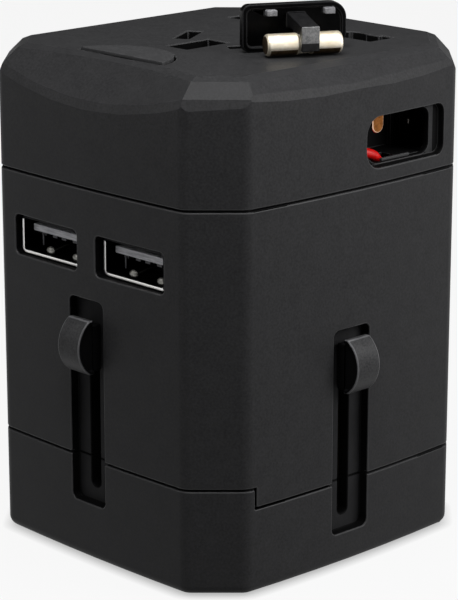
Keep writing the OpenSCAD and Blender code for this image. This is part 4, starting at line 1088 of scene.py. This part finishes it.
@dataclass
class FuseBay:
    """Inside of the fuse slot: holder, copper contacts, the red lead and two pale bars that are painted
    highlights.
    """

    holder_edge: float = 0.1
    front_edge: float = 0.19
    front_segments: int = 3
    rear_edge: float = 0.08
    # Place, heights and size of the bright bar and its dot, a painted highlight.
    highlight_place: tuple[float, float] = (20.05, 17.8)
    highlight_z: tuple[float, float] = (59.7, 63.3)
    highlight_radius: float = 0.13
    highlight_sides: int = 16
    dot_radius: float = 0.247
    dot_sides: int = 20
    dot_rings: int = 12
    lip_middle: tuple[float, float, float] = (24.9, 9.6, 59.65)
    lip_size: tuple[float, float, float] = (0.5, 6.0, 0.5)
    lip_edge: float = 0.15
    lip_segments: int = 3
    lead_levels: int = 2
    lead_turn: float = 60.0

    def build(self) -> None:
        """Builds the pieces that show in the slot."""
        # The holder's roundings take the charcoal edges' painted highlight.
        softened("fuse_holder", Body.CASING, Slot.INNER, self.holder_edge, INNER, SHELL_EDGE)
        softened("fuse_contact_front", Body.CASING, Slot.COPPER, self.front_edge, COPPER, COPPER_RIM,
                 segments=self.front_segments)
        softened("fuse_contact_rear", Body.CASING, Slot.COPPER, self.rear_edge, COPPER_DARK)
        self.edge_highlight()
        self.lip()
        self.lead()

    def edge_highlight(self) -> None:
        """Models a bright bar along the rear contact's edge, with a dot at its top, as a painted
        highlight.
        """
        low, high = self.highlight_z
        bpy.ops.object.select_all(action="DESELECT")
        bpy.ops.mesh.primitive_cylinder_add(
            vertices=self.highlight_sides, radius=self.highlight_radius, depth=high - low,
            location=(*self.highlight_place, (low + high) / 2))
        bar = bpy.context.object
        bpy.ops.object.select_all(action="DESELECT")
        bpy.ops.mesh.primitive_uv_sphere_add(
            segments=self.dot_sides, ring_count=self.dot_rings, radius=self.dot_radius,
            location=(*self.highlight_place, high))
        obj = join("fuse_contact_worn_edge", bar, bpy.context.object)
        bpy.ops.object.transform_apply(location=True, rotation=True, scale=True)
        # Painted highlight in the pale spring-steel finish.
        paint(obj, LEAF)
        polish(obj)
        settle(obj, Body.CASING, Slot.COPPER)

    def lip(self) -> None:
        """Models a pale bar at the bottom of the slot's inner opening, a painted highlight."""
        obj = block("fuse_slot_lip_painted_highlight", Vector(self.lip_middle), Vector(self.lip_size))
        # Painted highlight in the charcoal edges' lighter finish.
        paint(obj, SHELL_EDGE)
        apply_modifier(obj, "BEVEL", width=self.lip_edge, segments=self.lip_segments)
        polish(obj)
        settle(obj, Body.CASING, Slot.INNER)

    def lead(self) -> None:
        """Rounds the red lead by subdividing a copy of it."""
        obj = carry_over("fuse_lead")
        paint(obj, LEAD)
        apply_modifier(obj, "SUBSURF", levels=self.lead_levels, render_levels=self.lead_levels)
        polish(obj, self.lead_turn)
        settle(obj, Body.CASING, Slot.LEAD, "fuse_lead")


@dataclass(frozen=True)
class PlugPiece:
    """A piece of a plug: its CAD node, its body, its slot, the width of its rounding and its finish."""

    node: str
    body: Body
    slot: Slot
    edge: float
    finish: Finish


@dataclass
class Plugs:
    """Pins, blades, sleeves and carriages that the sliders push out."""

    pieces: tuple[PlugPiece, ...] = (
        PlugPiece("us_blade_left", Body.US_LEFT, Slot.NICKEL_BRASS, 0.15, NICKEL),
        PlugPiece("us_blade_right", Body.US_RIGHT, Slot.NICKEL_BRASS, 0.15, NICKEL),
        PlugPiece("eu_pins", Body.EU_SLIDER, Slot.NICKEL_BRASS, 0.2, NICKEL),
        PlugPiece("eu_sleeves", Body.EU_SLIDER, Slot.SLEEVE, 0.06, SLEEVE),
        PlugPiece("uk_pins", Body.UK_SLIDER, Slot.NICKEL_BRASS, 0.2, NICKEL),
        PlugPiece("uk_sleeves", Body.UK_SLIDER, Slot.SLEEVE, 0.06, SLEEVE),
        PlugPiece("uk_earth_pin", Body.UK_SLIDER, Slot.SLEEVE, 0.25, SLEEVE),
        PlugPiece("us_carriage", Body.US_SLIDER, Slot.INNER, 0.15, INNER),
        PlugPiece("eu_carriage", Body.EU_SLIDER, Slot.INNER, 0.15, INNER),
        PlugPiece("uk_carriage", Body.UK_SLIDER, Slot.INNER, 0.15, INNER))

    def build(self) -> None:
        """Copies the pieces that come out of the base, and the carriages that bear them."""
        for piece in self.pieces:
            softened(piece.node, piece.body, piece.slot, piece.edge, piece.finish)


@dataclass
class Insides:
    """Pieces inside the casing, which keep their CAD solids and take a finish."""

    # The USB contacts take darkened nickel as painted shade.
    finishes: dict[str, Finish] = field(default_factory=lambda: {
        "button_spring": ZINC, "contact_carrier": INNER, "live_contacts": BRASS,
        "neutral_contacts": BRASS, "inner_frame": INNER, "frame_screws": ZINC, "live_rail": BRASS,
        "neutral_rail": BRASS, "circuit_board": BOARD, "transformer_core": FERRITE,
        "transformer_coil": TAPE, "capacitors": CAN, "control_chip": RESIN, "usb_contacts": NICKEL_DULL,
        "us_wipers": BRASS, "eu_wipers": BRASS, "uk_wipers": BRASS})

    def build(self) -> None:
        """Gives each CAD node its finish."""
        for node, finish in self.finishes.items():
            paint(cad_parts[node], finish)
            LOG.info("CAD node %s in %s", node, finish.name)


def toward(azimuth: float, elevation: float) -> Vector:
    """Finds the direction from the object to a lamp or the camera.

    Args:
        azimuth: Degrees about Z, 0 at -Y and 90 at +X.
        elevation: Degrees above the floor.

    Returns:
        The direction, of length 1.
    """
    turn, rise = math.radians(azimuth), math.radians(elevation)
    return Vector((math.sin(turn) * math.cos(rise), -math.cos(turn) * math.cos(rise), math.sin(rise)))


@dataclass(frozen=True)
class Softbox:
    """A square soft lamp near the object: where it stands, its size and how much light it gives.

    A level of 1 shows a colour that faces the lamp as it is written.
    """

    azimuth: float
    elevation: float
    distance: float
    size: float
    level: float

    def build(self, target: tuple[float, float, float]) -> None:
        """Hangs the lamp so that it faces the target, out of the camera's sight.

        Args:
            target: The place that it faces.
        """
        away = toward(self.azimuth, self.elevation)
        spot = (Vector(target) + away * self.distance) * MM
        turn = away.to_track_quat("Z", "Y").to_euler()
        bpy.ops.object.light_add(type="AREA", location=spot, rotation=turn)
        lamp = bpy.context.object
        lamp.name = f"softbox_{self.azimuth:g}_{self.elevation:g}"
        lamp.data.shape = "SQUARE"
        lamp.data.size = self.size * MM
        lamp.data.energy = self.level * (math.pi * self.distance * MM) ** 2
        lamp.visible_camera = False


@dataclass
class Studio:
    """Pale floor, soft light and the camera at the photograph's angle."""

    floor_tone: str = "#6e6e6e"
    # What the camera sees of the floor: its own light, its share of real shadow, and a painted shadow as
    # a dark line at the foot.
    floor_glow: float = 0.914
    floor_shade: float = 0.03
    contact_shadow: float = 1.8
    contact_light: float = 0.5
    floor_size: float = 8000.0
    floor_drop: float = 0.2
    sky: float = 0.09
    boxes: tuple[Softbox, ...] = (
        Softbox(118, 28, 200, 120, 0.72),
        Softbox(-30, 30, 200, 120, 0.16),
        Softbox(46, 65, 200, 120, 0.83),
        Softbox(46, 86, 220, 100, 0.2))
    azimuth: float = 46.286
    elevation: float = 15.718
    distance: float = 385.07
    target: tuple[float, float, float] = (0.0, 0.0, 37.0)
    shift_right: float = 0.04
    shift_up: float = -2.171
    focal_pixels: float = 2524.27
    image_height: float = 600.0
    sensor_width: float = 36.0
    clip_start: float = 10.0

    def build(self) -> None:
        """Sets up the floor, the light and the camera."""
        self.floor()
        self.light()
        self.camera()
        bpy.context.scene.view_settings.view_transform = "Standard"

    def floor(self) -> None:
        """Lays a wide floor, seen as pale paper with the object's shadow on it."""
        bpy.ops.object.select_all(action="DESELECT")
        spot = (0, 0, -self.floor_drop * MM)
        bpy.ops.mesh.primitive_plane_add(size=self.floor_size * MM, location=spot)
        obj = bpy.context.object
        obj.name = "studio_floor"
        obj.data.materials.append(self.paper())

    def paper(self) -> bpy.types.Material:
        """Makes the floor's material.

        Returns:
            Paper that lights the object as a grey card and shows near white.
        """
        # Matt paper sweep: a soft shadow far out, and a painted shadow as a thin dark line close round
        # the object's foot.
        made = bpy.data.materials.new("paper_sweep_matt")
        made.use_nodes = True
        tree = made.node_tree
        tree.nodes.remove(tree.nodes["Principled BSDF"])
        path = add_node(tree, "ShaderNodeLightPath")
        seen: Any = path.outputs["Is Camera Ray"]
        for ray in ("Is Glossy Ray", "Is Transmission Ray"):
            rays = {0: seen, 1: path.outputs[ray]}
            seen = add_node(tree, "ShaderNodeMath", rays, operation="MAXIMUM").outputs[0]
        bounce = add_node(tree, "ShaderNodeBsdfDiffuse", {"Color": linear(self.floor_tone)})
        shade = add_node(tree, "ShaderNodeBsdfDiffuse", {"Color": (*[self.floor_shade] * 3, 1.0)})
        # Painted shadow: the floor's own light dims close to the object.
        near = add_node(tree, "ShaderNodeAmbientOcclusion", {"Distance": self.contact_shadow * MM})
        level = add_node(tree, "ShaderNodeMapRange", {
            "Value": near.outputs["AO"], "To Min": self.floor_glow * self.contact_light,
            "To Max": self.floor_glow})
        glow = add_node(tree, "ShaderNodeEmission", {"Strength": level.outputs["Result"]})
        pale = add_node(tree, "ShaderNodeAddShader", {0: shade.outputs[0], 1: glow.outputs[0]})
        mixed = add_node(tree, "ShaderNodeMixShader", {0: seen, 1: bounce.outputs[0], 2: pale.outputs[0]})
        tree.links.new(mixed.outputs[0], tree.nodes["Material Output"].inputs["Surface"])
        return made

    def light(self) -> None:
        """Lights the scene with a dim even sky and the softboxes."""
        world = bpy.data.worlds.new("soft_studio_sky")
        bpy.context.scene.world = world
        world.use_nodes = True
        backdrop = world.node_tree.nodes["Background"]
        backdrop.inputs["Color"].default_value = (1.0, 1.0, 1.0, 1.0)
        backdrop.inputs["Strength"].default_value = self.sky
        for box in self.boxes:
            box.build(self.target)

    def camera(self) -> None:
        """Places the camera that was fitted to the photograph."""
        back = toward(self.azimuth, self.elevation)
        right = toward(self.azimuth + 90, 0.0)
        up = back.cross(right)
        spot = Vector(self.target) + back * self.distance + right * self.shift_right + up * self.shift_up
        data = bpy.data.cameras.new("photo_camera")
        data.sensor_width = self.sensor_width
        data.lens = self.sensor_width * self.focal_pixels / self.image_height
        data.clip_start = self.clip_start * MM
        obj = bpy.data.objects.new("photo_camera", data)
        bpy.context.scene.collection.objects.link(obj)
        obj.matrix_world = Matrix((
            (right.x, up.x, back.x, spot.x * MM),
            (right.y, up.y, back.y, spot.y * MM),
            (right.z, up.z, back.z, spot.z * MM),
            (0, 0, 0, 1)))
        bpy.context.scene.camera = obj


def main() -> None:
    """Builds the stage and then each sub-assembly in order."""
    logging.basicConfig(level=logging.INFO, format="%(name)s: %(message)s")
    Studio().build()
    for assembly in (Casing(), Knobs(), ReleaseButton(), FuseDrawer(), FuseBay(),
                     UsbPort("left"), UsbPort("right"), Plugs(), Insides()):
        LOG.info("building %s", type(assembly).__name__)
        assembly.build()


if __name__ == "__main__":
    main()
